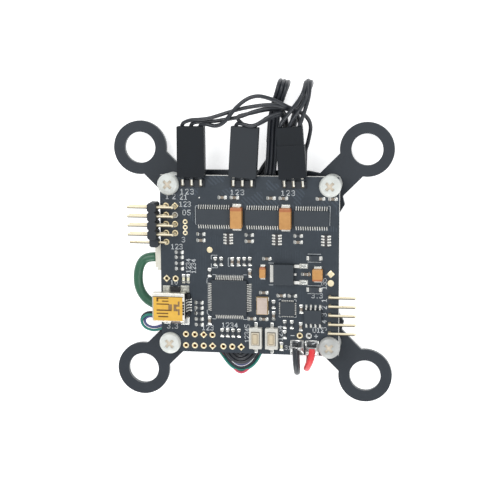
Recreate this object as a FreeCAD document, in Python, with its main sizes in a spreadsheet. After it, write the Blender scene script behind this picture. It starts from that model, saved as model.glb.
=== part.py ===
"""Gimbal controller board on its vibration damper plate.

Millimetres, +Z up.  The origin is the centre of the plate on the surface that
the tips of the four nylon screws stand on.  The motor plugs point along +Y and
the USB socket along -X.
"""
import FreeCAD, Part
import math
import os

import Sketcher

os.makedirs("parts", exist_ok=True)
doc = FreeCAD.newDocument("ControllerBoard")
V = FreeCAD.Vector
UP = V(0, 0, 1)

# ---------------------------------------------------------------- sizes
SIZES = [
    # board and what holds it
    ("board_width", "50"), ("board_depth", "50"), ("board_thick", "1.6"),
    ("hole_inset", "2.5"), ("mount_hole_radius", "1.6"),
    ("screw_length", "12"), ("screw_radius", "1.5"),
    ("head_radius", "3"), ("head_height", "2.1"),
    ("recess_length", "3.4"), ("recess_width", "0.8"), ("recess_depth", "1.1"),
    ("spacer_height", "5"), ("spacer_radius", "2.75"), ("thread_clearance", "0.05"),
    ("nut_height", "2.4"), ("nut_flats", "5.5"),
    # damper plate
    ("plate_thick", "1.5"), ("plate_half", "25.9"), ("plate_shoulder", "15.9"),
    ("side_shoulder", "16.6"), ("root_far", "25.3"), ("waist_half", "19.5"),
    ("waist_height", "6"), ("arm_width", "9"), ("ring_pitch", "64"),
    ("ring_radius", "7.55"), ("damper_hole_radius", "4.4"),
    ("opening_half", "12"), ("opening_corner", "3"),
    # pin headers, 2.54 mm system
    ("pin_pitch", "2.54"), ("pin_width", "0.64"), ("pin_axis", "1.35"),
    ("pin_tail", "1"), ("pin_taper_length", "0.4"), ("pin_hole_radius", "0.5"),
    ("header_inset", "2.5"), ("motor_pitch", "14.15"), ("motor_middle", "-1.6"),
    ("motor_pin_length", "8.1"), ("servo_pin_length", "7.5"), ("servo_first", "-8.2"),
    ("rc_first", "16.4"), ("rc_lower_inset", "1.65"), ("rc_pin_length", "10.2"), ("rc_upper_extra", "2.5"),
    ("insulator_wide", "2.54"), ("insulator_gap", "0.1"), ("rib_chamfer", "0.45"),
    # loose plugs on the motor headers
    ("plug_length", "14"), ("plug_mouth", "2.15"), ("cavity_width", "1.7"),
    ("cavity_depth", "9"), ("rear_bore", "1.36"), ("latch_width", "1.2"),
    ("latch_length", "2.4"), ("latch_start", "4"), ("collar_length", "5"),
    ("collar_depth", "0.25"), ("plug_lean_1", "-3.2"), ("plug_lean_2", "4"),
    ("contact_start", "0.5"), ("contact_width", "1.5"), ("contact_length", "6.6"), ("contact_bore", "0.8"),
    ("crimp_length", "2"), ("crimp_width", "1.1"),
    # packages
    ("standoff", "0.1"), ("lead_thick", "0.14"),
    ("mcu_width", "10"), ("mcu_height", "1.4"), ("mcu_lead_length", "1"),
    ("mcu_lead_pitch", "0.5"), ("mcu_lead_width", "0.22"),
    ("driver_length", "9.7"), ("driver_width", "4.4"), ("driver_height", "0.9"),
    ("driver_lead_length", "1"), ("driver_lead_pitch", "0.65"), ("driver_lead_width", "0.22"),
    ("driver_pitch", "13.6"),
    ("soic_length", "4.9"), ("soic_width", "3.9"), ("soic_height", "1.4"),
    ("soic_lead_length", "1.05"), ("soic_lead_pitch", "1.27"), ("soic_lead_width", "0.42"),
    ("imu_width", "4"), ("imu_height", "0.9"),
    ("tantalum_offset", "6.5"), ("tantalum_length", "5.9"), ("tantalum_width", "3.2"),
    ("tantalum_height", "2.5"), ("tantalum_terminal", "0.5"),
    ("input_tantalum_length", "3.4"), ("input_tantalum_width", "2.8"),
    ("input_tantalum_height", "1.9"), ("output_tantalum_length", "3.1"),
    ("output_tantalum_width", "1.7"), ("output_tantalum_height", "1.6"),
    ("small_terminal", "0.3"), ("terminal_thick", "0.25"),
    ("regulator_length", "5.8"), ("regulator_width", "5.9"), ("regulator_height", "2"),
    ("regulator_lead_width", "0.85"), ("regulator_stub", "0.6"),
    ("regulator_lead_pitch", "4.58"), ("regulator_lead_length", "3.3"), ("regulator_tab", "1"),
    ("crystal_length", "5"), ("crystal_width", "3.2"), ("crystal_height", "1"),
    ("crystal_lid", "0.25"), ("crystal_rim", "0.2"),
    ("diode_length", "2.7"), ("diode_width", "1.6"), ("diode_height", "1.1"),
    ("diode_terminal", "0.5"),
    ("chip_length", "1.6"), ("chip_width", "0.8"), ("chip_height", "0.5"),
    ("array_length", "3.2"), ("array_width", "1.6"),
    # USB socket
    ("usb_length", "9.2"), ("usb_width", "7.7"), ("usb_height", "3.9"),
    ("usb_wall", "0.3"), ("usb_overhang", "1.8"),
    ("usb_lower_width", "5.6"), ("usb_knee", "1.5"), ("usb_slot_length", "3.4"),
    ("usb_slot_width", "0.5"), ("usb_tongue_thick", "1"), ("usb_back_length", "2.2"),
    ("usb_slot_start", "0.9"), ("usb_tab_length", "1.6"), ("usb_tab_width", "1.5"),
    ("usb_front_tab", "3.2"), ("usb_rear_tab", "8"), ("usb_rim", "0.35"),
    ("usb_contact_length", "1.9"), ("usb_contact_drop", "0.6"),
    ("film_thick", "0.06"), ("usb_contact_pitch", "0.8"), ("usb_contact_width", "0.4"),
    # sensor socket below the left edge
    ("sensor_length", "5"), ("sensor_width", "7"), ("sensor_height", "3"),
    ("sensor_wall", "0.6"), ("sensor_y", "1.4"), ("sensor_overhang", "1.3"),
    ("sensor_plug_length", "4"), ("sensor_plug_proud", "0.8"),
    # push buttons
    ("switch_length", "5.9"), ("switch_width", "3.5"), ("switch_base", "1.2"),
    ("switch_cover", "0.6"), 
    ("switch_leg_length", "1.1"), ("switch_leg_width", "0.8"), ("switch_leg_thick", "0.3"),
    ("well_length", "3.8"), ("well_width", "2.5"),
    ("dome_folded", "0.12"), ("key_length", "2.7"), ("key_width", "1.5"),
    ("key_flange", "0.35"), ("key_height", "2.5"), ("key_clearance", "0.12"),
    ("key_lift", "0.03"), ("key_travel", "0.25"), ("dome_radius", "1.1"),
    # wires
    ("motor_bundle", "2.1"), ("ribbon_bundle", "2.4"),
    ("power_wire", "1.85"), ("sleeve_wire", "2.7"), ("sensor_wire", "1.7"),
    ("tinned_length", "3"), ("tinned_width", "0.5"),
    ("power_pad_width", "3.3"), ("solder_length", "1.9"), ("solder_height", "2"),
    ("far_plug_length", "4.4"), ("far_plug_width", "6"), ("far_plug_height", "2.5"),
]

sheet = doc.addObject("Spreadsheet::Sheet", "Sizes")
for row, (alias, value) in enumerate(SIZES, start=1):
    sheet.set(f"A{row}", alias)
    sheet.set(f"B{row}", value)
    sheet.setAlias(f"B{row}", alias)
doc.recompute()


class Size:
    """A number and the sheet expression that gives it."""

    def __init__(self, text, value):
        self.text = text
        self.value = value

    def __add__(self, other):
        other = as_size(other)
        return Size(f"({self.text} + {other.text})", self.value + other.value)

    def __sub__(self, other):
        other = as_size(other)
        return Size(f"({self.text} - {other.text})", self.value - other.value)

    def __mul__(self, other):
        other = as_size(other)
        return Size(f"({self.text} * {other.text})", self.value * other.value)

    def __truediv__(self, other):
        other = as_size(other)
        return Size(f"({self.text} / {other.text})", self.value / other.value)

    def __neg__(self):
        return self * -1

    __radd__ = __add__
    __rmul__ = __mul__


def as_size(value):
    return value if isinstance(value, Size) else Size(f"({value})", float(value))


def cell(alias):
    return Size(f"Sizes.{alias}", float(sheet.get(alias)))


# ---------------------------------------------------------------- levels
board_top = cell("screw_length")
board_bottom = board_top - cell("board_thick")
plate_top = board_bottom - cell("spacer_height")
plate_bottom = plate_top - cell("plate_thick")
nut_bottom = plate_bottom - cell("nut_height")
pin_level = board_top + cell("pin_axis")
half_width = cell("board_width") / 2
half_depth = cell("board_depth") / 2
mount_x = half_width - cell("hole_inset")
mount_y = half_depth - cell("hole_inset")


def spot(x, y):
    """A place on the board: typed for a 50 mm board, and kept in proportion to it."""
    return half_width * (x / 25), half_depth * (y / 25)


usb_middle = spot(0, -11.5)[1]

nodes = []


def keep(obj, label):
    """Label an object as one node of the assembly."""
    obj.Label = label
    nodes.append(obj)
    return obj


def bind(obj, **sizes):
    for name, size in sizes.items():
        obj.setExpression(name.replace("__", "."), as_size(size).text)


def place(obj, x, y, z):
    bind(obj, Placement__Base__x=x, Placement__Base__y=y, Placement__Base__z=z)
    return obj


# ---------------------------------------------------------------- Part helpers
def box(x, y, z, dx, dy, dz):
    """A box centred on x and y, standing on z."""
    solid = doc.addObject("Part::Box", "Box")
    bind(solid, Length=dx, Width=dy, Height=dz)
    return place(solid, as_size(x) - as_size(dx) / 2, as_size(y) - as_size(dy) / 2, z)


def cylinder(x, y, z, radius, height):
    solid = doc.addObject("Part::Cylinder", "Cylinder")
    bind(solid, Radius=radius, Height=height)
    return place(solid, x, y, z)


def fuse(*parts):
    joined = doc.addObject("Part::MultiFuse", "Joined")
    joined.Shapes = list(parts)
    return joined


def cut(base, *tools):
    result = doc.addObject("Part::Cut", "Cut")
    result.Base = base
    result.Tool = tools[0] if len(tools) == 1 else fuse(*tools)
    return result


def group(parts):
    together = doc.addObject("Part::Compound", "Group")
    together.Links = list(parts)
    return together


# ---------------------------------------------------------------- PartDesign helpers
def new_body(name):
    body = doc.addObject("PartDesign::Body", name)
    body.AllowCompound = True
    return body


def origin_of(body, role):
    return next(part for part in body.Origin.OriginFeatures if part.Role == role)


def new_sketch(body, plane="XY_Plane", level=0):
    sketch = body.newObject("Sketcher::SketchObject", "Sketch")
    sketch.AttachmentSupport = [(origin_of(body, plane), "")]
    sketch.MapMode = "FlatFace"
    bind(sketch, AttachmentOffset__Base__z=level)
    return sketch


def pin_point(sketch, edge, point, x, y):
    """Hold one point of a sketch at x and y."""
    for kind, size in (("DistanceX", as_size(x)), ("DistanceY", as_size(y))):
        index = sketch.addConstraint(Sketcher.Constraint(kind, edge, point, size.value))
        sketch.setExpression(f"Constraints[{index}]", size.text)


def outline(sketch, points):
    """A closed outline of straight edges through the points."""
    first = sketch.GeometryCount
    count = len(points)
    spots = [V(as_size(x).value, as_size(y).value, 0) for x, y in points]
    for i in range(count):
        sketch.addGeometry(Part.LineSegment(spots[i], spots[(i + 1) % count]), False)
    for i, (x, y) in enumerate(points):
        follower = first + (i - 1) % count
        sketch.addConstraint(Sketcher.Constraint("Coincident", follower, 2, first + i, 1))
        pin_point(sketch, first + i, 1, x, y)
    return sketch


def rectangle(sketch, x0, y0, x1, y1):
    return outline(sketch, [(x0, y0), (x1, y0), (x1, y1), (x0, y1)])


def circle(sketch, x, y, radius):
    radius = as_size(radius)
    centre = V(as_size(x).value, as_size(y).value, 0)
    edge = sketch.addGeometry(Part.Circle(centre, UP, radius.value), False)
    pin_point(sketch, edge, 3, x, y)
    index = sketch.addConstraint(Sketcher.Constraint("Radius", edge, radius.value))
    sketch.setExpression(f"Constraints[{index}]", radius.text)


def pad(body, sketch, length, reverse=False):
    feature = body.newObject("PartDesign::Pad", "Pad")
    feature.Profile = sketch
    feature.Reversed = reverse
    bind(feature, Length=length)
    body.Tip = feature
    return feature


def pocket(body, sketch, length, reverse=False):
    feature = body.newObject("PartDesign::Pocket", "Pocket")
    feature.Profile = sketch
    feature.Reversed = reverse
    bind(feature, Length=length)
    body.Tip = feature
    return feature


def row_of(body, originals, axis, pitch, count):
    """Repeat features along an origin axis of the body."""
    feature = body.newObject("PartDesign::LinearPattern", "Row")
    feature.Originals = list(originals)
    feature.Direction = (origin_of(body, axis), [""])
    feature.Occurrences = count
    bind(feature, Length=as_size(pitch) * (count - 1))
    body.Tip = feature
    return feature


def many_of(body, originals, steps):
    """Repeat features by several patterns, one after another."""
    patterns = []
    for kind, axis, pitch, count in steps:
        pattern = body.newObject(f"PartDesign::{kind}", "Step")
        if kind == "LinearPattern":
            pattern.Direction = (origin_of(body, axis), [""])
            pattern.Occurrences = count
            bind(pattern, Length=as_size(pitch) * (count - 1))
        elif kind == "PolarPattern":
            pattern.Axis = (origin_of(body, axis), [""])
            pattern.Angle = 360
            pattern.Occurrences = count
        else:
            pattern.MirrorPlane = (origin_of(body, axis), [""])
        patterns.append(pattern)
    whole = body.newObject("PartDesign::MultiTransform", "Copies")
    whole.Originals = list(originals)
    whole.Transformations = patterns
    body.Tip = whole
    return whole


# ---------------------------------------------------------------- damper plate
def damper_plate():
    """X-shaped plate of 1.5 mm glass fibre: four arms end in rings for rubber balls."""
    body = new_body("DamperPlate")
    half, shoulder = cell("plate_half"), cell("plate_shoulder")
    far, arm = cell("root_far"), cell("arm_width") / 2
    near = far - arm * math.sqrt(2)
    side, waist, neck = cell("side_shoulder"), cell("waist_half"), cell("waist_height")
    corner = [(shoulder, half), (near, far), (far, near), (half, side), (waist, neck)]
    right = corner + [(x, -y) for x, y in reversed(corner)]
    left = [(-x, y) for x, y in reversed(right)]
    core = pad(body, outline(new_sketch(body, level=plate_bottom), right + left),
               cell("plate_thick"))

    ring = cell("ring_pitch") / 2
    start, end = shoulder * math.sqrt(2), ring * math.sqrt(2)
    corners = [(start, -arm), (end, -arm), (end, arm), (start, arm)]
    turned = [((s - w) / math.sqrt(2), (s + w) / math.sqrt(2)) for s, w in corners]
    arm_pad = pad(body, outline(new_sketch(body, level=plate_bottom), turned),
                  cell("plate_thick"))
    ring_sketch = new_sketch(body, level=plate_bottom)
    circle(ring_sketch, ring, ring, cell("ring_radius"))
    ring_pad = pad(body, ring_sketch, cell("plate_thick"))
    many_of(body, [arm_pad, ring_pad], [("PolarPattern", "Z_Axis", 0, 4)])

    holes = new_sketch(body, level=plate_top)
    for x, y in mount_points():
        circle(holes, x, y, cell("mount_hole_radius"))
    for sx in (-1, 1):
        for sy in (-1, 1):
            circle(holes, ring * sx, ring * sy, cell("damper_hole_radius"))
    wide, bevel = cell("opening_half"), cell("opening_corner")
    flat = wide - bevel
    outline(holes, [(wide, -flat), (wide, flat), (flat, wide), (-flat, wide),
                    (-wide, flat), (-wide, -flat), (-flat, -wide), (flat, -wide)])
    pocket(body, holes, cell("plate_thick"))
    return keep(body, "damper_plate")


def mount_points():
    return [(mount_x * sx, mount_y * sy) for sx in (-1, 1) for sy in (-1, 1)]


# ---------------------------------------------------------------- board
def motor_pins(index):
    """Centre of one motor header, and the y of its holes."""
    middle = cell("motor_middle") + cell("motor_pitch") * (index - 1)
    return middle, half_depth - cell("header_inset")


def header_row(x, y, dx, dy, count):
    pitch = cell("pin_pitch")
    return [(as_size(x) + pitch * (dx * i), as_size(y) + pitch * (dy * i)) for i in range(count)]


def rc_columns():
    """The x of the lower and upper pin holes of the double header."""
    lower = -half_width + cell("rc_lower_inset")
    return lower, lower + cell("pin_pitch")


def board_holes():
    holes = []
    for index in range(3):
        middle, y = motor_pins(index)
        holes += header_row(middle - cell("pin_pitch"), y, 1, 0, 3)
    lower, upper = rc_columns()
    holes += header_row(lower, cell("rc_first"), 0, -1, 5)
    holes += header_row(upper, cell("rc_first"), 0, -1, 4)
    holes += header_row(half_width - cell("header_inset"), cell("servo_first"), 0, -1, 5)
    holes += header_row(*spot(-18.1, -20), 1, 0, 4)
    holes += header_row(*spot(-18.1, -23.2), 1, 0, 4)
    holes += header_row(*spot(-7.4, -23.2), 1, 0, 3)
    holes += header_row(-half_width + 1.6, spot(0, -4.15)[1], 1, 0, 2)
    holes += header_row(*spot(14.2, -19.45), 1, 0, 2)
    return holes


def pcb():
    """Black FR4 board with four M3 holes and its plated pin holes."""
    body = new_body("Pcb")
    sheet_outline = new_sketch(body, level=board_bottom)
    rectangle(sheet_outline, -half_width, -half_depth, half_width, half_depth)
    pad(body, sheet_outline, cell("board_thick"))
    holes = new_sketch(body, level=board_top)
    for x, y in mount_points():
        circle(holes, x, y, cell("mount_hole_radius"))
    for x, y in board_holes():
        circle(holes, x, y, cell("pin_hole_radius"))
    pocket(body, holes, cell("board_thick"))
    return keep(body, "pcb")


# ---------------------------------------------------------------- nylon hardware
def at_mounts(body, features):
    place(body, -mount_x, -mount_y, 0)
    many_of(body, features, [("LinearPattern", "X_Axis", mount_x * 2, 2),
                             ("LinearPattern", "Y_Axis", mount_y * 2, 2)])


def nylon_screws():
    """Pan-head cross-recess M3 screws, head on the board and tip on the ground."""
    body = new_body("NylonScrews")
    profile = new_sketch(body, "XZ_Plane")
    shank, head, height = cell("screw_radius"), cell("head_radius"), cell("head_height")
    under = board_top
    outline(profile, [(0, 0), (shank, 0), (shank, under), (head, under),
                      (head, under + height * 0.45), (head * 0.87, under + height * 0.78),
                      (head * 0.6, under + height * 0.95), (0, under + height)])
    turn = body.newObject("PartDesign::Revolution", "Turn")
    turn.Profile = profile
    turn.ReferenceAxis = (profile, ["V_Axis"])
    turn.Angle = 360
    recess = new_sketch(body, level=under + height)
    long, wide = cell("recess_length") / 2, cell("recess_width") / 2
    cross_points = [(long, -wide), (long, wide), (wide, wide), (wide, long),
                    (-wide, long), (-wide, wide), (-long, wide), (-long, -wide),
                    (-wide, -wide), (-wide, -long), (wide, -long), (wide, -wide)]
    # the arms stand on the diagonals of the board
    eighth = math.sqrt(0.5)
    outline(recess, [((u - v) * eighth, (u + v) * eighth) for u, v in cross_points])
    cross = pocket(body, recess, cell("recess_depth"))
    at_mounts(body, [turn, cross])
    return keep(body, "nylon_screws")


def nylon_nuts():
    """Hexagon nuts under the plate."""
    body = new_body("NylonNuts")
    sketch = new_sketch(body, level=nut_bottom)
    reach = cell("nut_flats") / math.sqrt(3)
    points = []
    for i in range(6):
        angle = math.radians(60 * i)
        points.append((reach * math.cos(angle), reach * math.sin(angle)))
    outline(sketch, points)
    circle(sketch, 0, 0, cell("screw_radius") + cell("thread_clearance"))
    nut = pad(body, sketch, cell("nut_height"))
    at_mounts(body, [nut])
    return keep(body, "nylon_nuts")


def spacers():
    """Round nylon spacers between plate and board."""
    body = new_body("Spacers")
    sketch = new_sketch(body, level=plate_top)
    circle(sketch, 0, 0, cell("spacer_radius"))
    circle(sketch, 0, 0, cell("mount_hole_radius"))
    ring = pad(body, sketch, cell("spacer_height"))
    at_mounts(body, [ring])
    return keep(body, "spacers")


# ---------------------------------------------------------------- bent header pins
def bent_pins(name, tip, level, count):
    """A row of right-angle pins: tails down through the board, points along +Y."""
    body = new_body(name)
    half, taper = cell("pin_width") / 2, cell("pin_taper_length")
    tail = -(cell("board_thick") + cell("pin_tail"))
    profile = new_sketch(body, "YZ_Plane", level=-half)
    outline(profile, [(-half, tail), (half, tail), (half, level - half),
                      (tip - taper, level - half), (tip, level - half / 3),
                      (tip, level + half / 3), (tip - taper, level + half),
                      (0, level + half), (-half, level)])
    pin = pad(body, profile, cell("pin_width"))
    if count > 1:
        row_of(body, [pin], "X_Axis", cell("pin_pitch"), count)
    return body


def turn_body(body, angle):
    """Turn an object about the vertical through its own origin."""
    body.Placement.Rotation = FreeCAD.Rotation(UP, angle)
    return body


def motor_header_pins():
    """Nine separate pins, each leaning with the plug that is pushed on it."""
    pins = []
    for index, lean in enumerate(leans()):
        middle, y = motor_pins(index)
        for x, hole_y in header_row(middle - cell("pin_pitch"), y, 1, 0, 3):
            pin = bent_pins("MotorPin", cell("motor_pin_length"), cell("pin_axis"), 1)
            turn_body(pin, lean.value)
            place(pin, x, hole_y, board_top)
            pins.append(pin)
    return keep(group(pins), "motor_header_pins")


def leans():
    return [as_size(0), cell("plug_lean_1"), cell("plug_lean_2")]


def servo_header_pins():
    """Five bare pins over the right edge."""
    pins = bent_pins("ServoPins", cell("servo_pin_length"), cell("pin_axis"), 5)
    turn_body(pins, -90)
    place(pins, half_width - cell("header_inset"), cell("servo_first"), board_top)
    return keep(pins, "servo_header_pins")


def rc_header():
    """Double right-angle header over the left edge, five pins below and four above."""
    lower, upper = rc_columns()
    pitch = cell("pin_pitch")
    rise, long = cell("pin_axis"), cell("rc_pin_length")
    bottom_row = turn_body(bent_pins("RcPinsLower", long, rise, 5), 90)
    top_row = turn_body(bent_pins("RcPinsUpper", long + cell("rc_upper_extra"),
                                  rise + pitch, 4), 90)
    place(bottom_row, lower, cell("rc_first") - pitch * 4, board_top)
    place(top_row, upper, cell("rc_first") - pitch * 3, board_top)
    keep(group([bottom_row, top_row]), "rc_header_pins")

    body = new_body("RcInsulator")
    thick = cell("insulator_wide")
    right = -half_width - cell("insulator_gap")
    left = right - thick
    for level, count in ((0, 5), (1, 4)):
        top = cell("rc_first") + pitch / 2
        edge = cell("rib_chamfer")
        near, far = [], []
        for i in range(count):
            high, low = top - pitch * i, top - pitch * (i + 1)
            near += [(right - edge, high), (right, high - edge),
                     (right, low + edge), (right - edge, low)]
            far += [(left + edge, high), (left, high - edge),
                    (left, low + edge), (left + edge, low)]
        merged = drop_doubles(near) + drop_doubles(far)[::-1]
        sketch = new_sketch(body, level=board_top + cell("pin_axis") + pitch * level - pitch / 2)
        pad(body, outline(sketch, merged), pitch)
    for level, count in ((0, 5), (1, 4)):
        holes = new_sketch(body, "YZ_Plane", level=right)
        reach = cell("pin_width") / 2 + cell("thread_clearance") / 2
        for i in range(count):
            y = cell("rc_first") - pitch * i
            z = pin_level + pitch * level
            rectangle(holes, y - reach, z - reach, y + reach, z + reach)
        pocket(body, holes, thick)
    keep(body, "rc_header_insulator")


def drop_doubles(points):
    """Leave out points that repeat the one before."""
    kept = []
    for x, y in points:
        if kept and abs(kept[-1][0].value - x.value) + abs(kept[-1][1].value - y.value) < 1e-6:
            continue
        kept.append((x, y))
    return kept


# ---------------------------------------------------------------- crimp plugs
def plug_shape(ways, collar=False):
    """A crimp housing along +Y, mouth at y = 0 and pin axis at z = 0."""
    pitch, length = cell("pin_pitch"), cell("plug_length")
    wide, cavity, depth = pitch * ways, cell("cavity_width"), cell("cavity_depth")
    block = box(0, length / 2, -pitch / 2, wide, length, pitch)
    tools = []
    for i in range(ways):
        x = pitch * (i - (ways - 1) / 2)
        tools.append(box(x, depth / 2, -cavity / 2, cavity, depth, cavity))
        bore = cell("rear_bore")
        if ways == 2:
            bore = cell("power_wire") * 0.9
        tools.append(box(x, (length + depth) / 2, -bore / 2, bore, length - depth, bore))
        latch = cell("latch_start") + cell("latch_length") / 2
        tools.append(box(x, latch, -pitch / 2, cell("latch_width"), cell("latch_length"),
                         (pitch - cavity) / 2))
    if collar:
        step, start = cell("collar_depth"), length - cell("collar_length") / 2
        tools.append(box(0, start, pitch / 2 - step, wide, cell("collar_length"), step))
        for side in (-1, 1):
            x = (wide - step) / 2 * side
            tools.append(box(x, start, -pitch / 2, step, cell("collar_length"), pitch))
    return cut(block, *tools)


def crimp_contacts():
    """Stamped sockets inside the motor plugs, one on each pin."""
    contacts = []
    for index, lean in enumerate(leans()):
        middle, y = motor_pins(index)
        for way in (-1, 0, 1):
            x = cell("pin_pitch") * way
            long, wide, bore = cell("contact_length"), cell("contact_width"), cell("contact_bore")
            start = cell("plug_mouth") + cell("contact_start")
            sleeve = cut(box(x, start + long / 2, -wide / 2, wide, long, wide),
                         box(x, start + long / 2, -bore / 2, bore, long, bore))
            crimp, thin = cell("crimp_length"), cell("crimp_width")
            barrel = box(x, start + long + crimp / 2, -thin / 2, thin, crimp, thin)
            contact = fuse(sleeve, barrel)
            turn_body(contact, lean.value)
            place(contact, middle, y, pin_level)
            contacts.append(contact)
    return keep(group(contacts), "crimp_contacts")


def motor_plugs():
    for index, lean in enumerate(leans()):
        middle, y = motor_pins(index)
        plug = plug_shape(3, collar=index == 2)
        turn_body(plug, lean.value)
        mouth, angle = cell("plug_mouth"), math.radians(lean.value)
        place(plug, middle - mouth * math.sin(angle), y + mouth * math.cos(angle), pin_level)
        keep(plug, f"motor_plug_{index}")


# ---------------------------------------------------------------- packages
def gull_wings(body, edge, reach, mid, width, pitch, count):
    """One row of gull-wing leads on the +X side of a package, spread along Y."""
    thick = cell("lead_thick")
    profile = new_sketch(body, "XZ_Plane", level=pitch * ((count - 1) / 2) - width / 2)
    knee, foot = reach * 0.42, reach * 0.5
    outline(profile, [(edge, mid), (edge + knee - thick, mid), (edge + foot, 0),
                      (edge + reach, 0), (edge + reach, thick),
                      (edge + foot + thick, thick), (edge + knee, mid + thick),
                      (edge, mid + thick)])
    return pad(body, profile, width)


def package_leads(package, per_side, sides):
    """Gull-wing leads round a package; each row runs along Y before it is turned."""
    body = new_body(f"{package.capitalize()}Leads")
    mid = cell("standoff") + cell(f"{package}_height") * 0.42
    pitch = cell(f"{package}_lead_pitch")
    lead = gull_wings(body, cell(f"{package}_width") / 2, cell(f"{package}_lead_length"), mid,
                      cell(f"{package}_lead_width"), pitch, per_side)
    many_of(body, [lead], [("LinearPattern", "Y_Axis", pitch, per_side),
                           ("PolarPattern", "Z_Axis", 0, sides)])
    return body


def moulded(x, y, dx, dy, dz, lift=0):
    """A moulded package body, drawn in by its mould draft above the parting line."""
    draft = dz * 0.07
    lower = box(x, y, board_top + lift, dx, dy, dz / 2)
    wedge = doc.addObject("Part::Wedge", "Draft")
    bind(wedge, Xmin=0, Ymin=0, Zmin=0, X2min=draft, Z2min=draft,
         Xmax=dx, Ymax=dz / 2, Zmax=dy, X2max=dx - draft, Z2max=dy - draft)
    wedge.Placement.Rotation = FreeCAD.Rotation(V(1, 0, 0), 90)
    place(wedge, as_size(x) - dx / 2, as_size(y) + dy / 2, board_top + lift + dz / 2)
    return fuse(lower, wedge)


def driver_spot(index):
    """Where one of the three motor drivers sits; they share one pitch."""
    x, y = spot(3.8, 13.55)
    return x + cell("driver_pitch") * (index - 1), y


def packages():
    standoff = cell("standoff")
    x, y = spot(-5.5, -9)
    wide = cell("mcu_width")
    keep(moulded(x, y, wide, wide, cell("mcu_height"), standoff), "mcu")
    keep(place(package_leads("mcu", 16, 4), x, y, board_top), "mcu_leads")

    combs = []
    for index in range(3):
        x, y = driver_spot(index)
        keep(moulded(x, y, cell("driver_length"), cell("driver_width"),
                     cell("driver_height"), standoff), f"motor_driver_{index}")
        comb = turn_body(package_leads("driver", 14, 2), 90)
        combs.append(place(comb, x, y, board_top))
    keep(group(combs), "motor_driver_leads")

    x, y = spot(17.95, -13.85)
    keep(moulded(x, y, cell("soic_length"), cell("soic_width"), cell("soic_height"),
                 standoff), "serial_chip")
    comb = turn_body(package_leads("soic", 4, 2), 90)
    keep(place(comb, x, y, board_top), "serial_chip_leads")

    wide = cell("imu_width")
    keep(box(*spot(10.8, -11.85), board_top, wide, wide, cell("imu_height")), "imu_chip")


def regulator():
    """Surface-mount voltage regulator: body, soldered tab and two bent leads."""
    x, y = spot(9.8, -2.05)
    length, width, height = (cell("regulator_length"), cell("regulator_width"),
                             cell("regulator_height"))
    thick = cell("terminal_thick")
    keep(moulded(x, y, length, width, height), "voltage_regulator")
    tab = box(x - length / 2 - cell("regulator_tab") / 2, y, board_top,
              cell("regulator_tab"), width * 0.8, thick)
    reach = cell("regulator_stub")
    stub = box(x + (length + reach) / 2, y, board_top + height * 0.3, reach,
               cell("regulator_lead_width") * 0.7, thick)
    body = new_body("RegulatorLeads")
    lead = gull_wings(body, length / 2, cell("regulator_lead_length"), height * 0.3,
                      cell("regulator_lead_width"), cell("regulator_lead_pitch"), 2)
    row_of(body, [lead], "Y_Axis", cell("regulator_lead_pitch"), 2)
    place(body, x, y, board_top)
    keep(group([tab, stub, body]), "regulator_leads")


def crystal():
    """Ceramic crystal with a metal lid."""
    x, y = spot(3.8, -11.1)
    wide, long, rim = cell("crystal_width"), cell("crystal_length"), cell("crystal_rim")
    base = box(x, y, board_top, wide, long, cell("crystal_height"))
    lid = box(x, y, board_top + cell("crystal_height"), wide - rim * 2, long - rim * 2,
              cell("crystal_lid"))
    keep(fuse(base, lid), "crystal")


def two_ended(x, y, along, length, width, height, end):
    """A part with a metal terminal on each end, along X or Y: body and terminals."""
    dx, dy = (length, width) if along == "x" else (width, length)
    body = box(x, y, board_top, dx, dy, height)
    ends = []
    for side in (-1, 1):
        shift = (length + end) / 2 * side
        if along == "x":
            ends.append(box(as_size(x) + shift, y, board_top, end, width * 0.7, height * 0.45))
        else:
            ends.append(box(x, as_size(y) + shift, board_top, width * 0.7, end, height * 0.45))
    return body, ends


def tantalum(x, y, kind, end):
    return two_ended(x, y, "y", cell(f"{kind}_length"), cell(f"{kind}_width"),
                     cell(f"{kind}_height"), cell(end))


def capacitors_and_diodes():
    bodies, ends = [], []
    for index in (0, 1):
        x, y = driver_spot(index)
        body, tips = tantalum(x + cell("tantalum_offset"), y, "tantalum", "tantalum_terminal")
        bodies.append(body)
        ends += tips
    for place_on, kind in ((spot(3.9, -1.65), "output_tantalum"),
                           (spot(19.2, -2), "input_tantalum")):
        body, tips = tantalum(*place_on, kind, "small_terminal")
        bodies.append(body)
        ends += tips
    keep(group(bodies), "tantalum_capacitors")
    keep(group(ends), "capacitor_terminals")

    bodies, ends = [], []
    for place_on in (spot(18.2, 2.5), spot(18.2, -6.3)):
        body, tips = two_ended(*place_on, "x", cell("diode_length"), cell("diode_width"),
                               cell("diode_height"), cell("diode_terminal"))
        bodies.append(body)
        ends += tips
    keep(group(bodies), "diodes")
    keep(group(ends), "diode_terminals")


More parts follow.
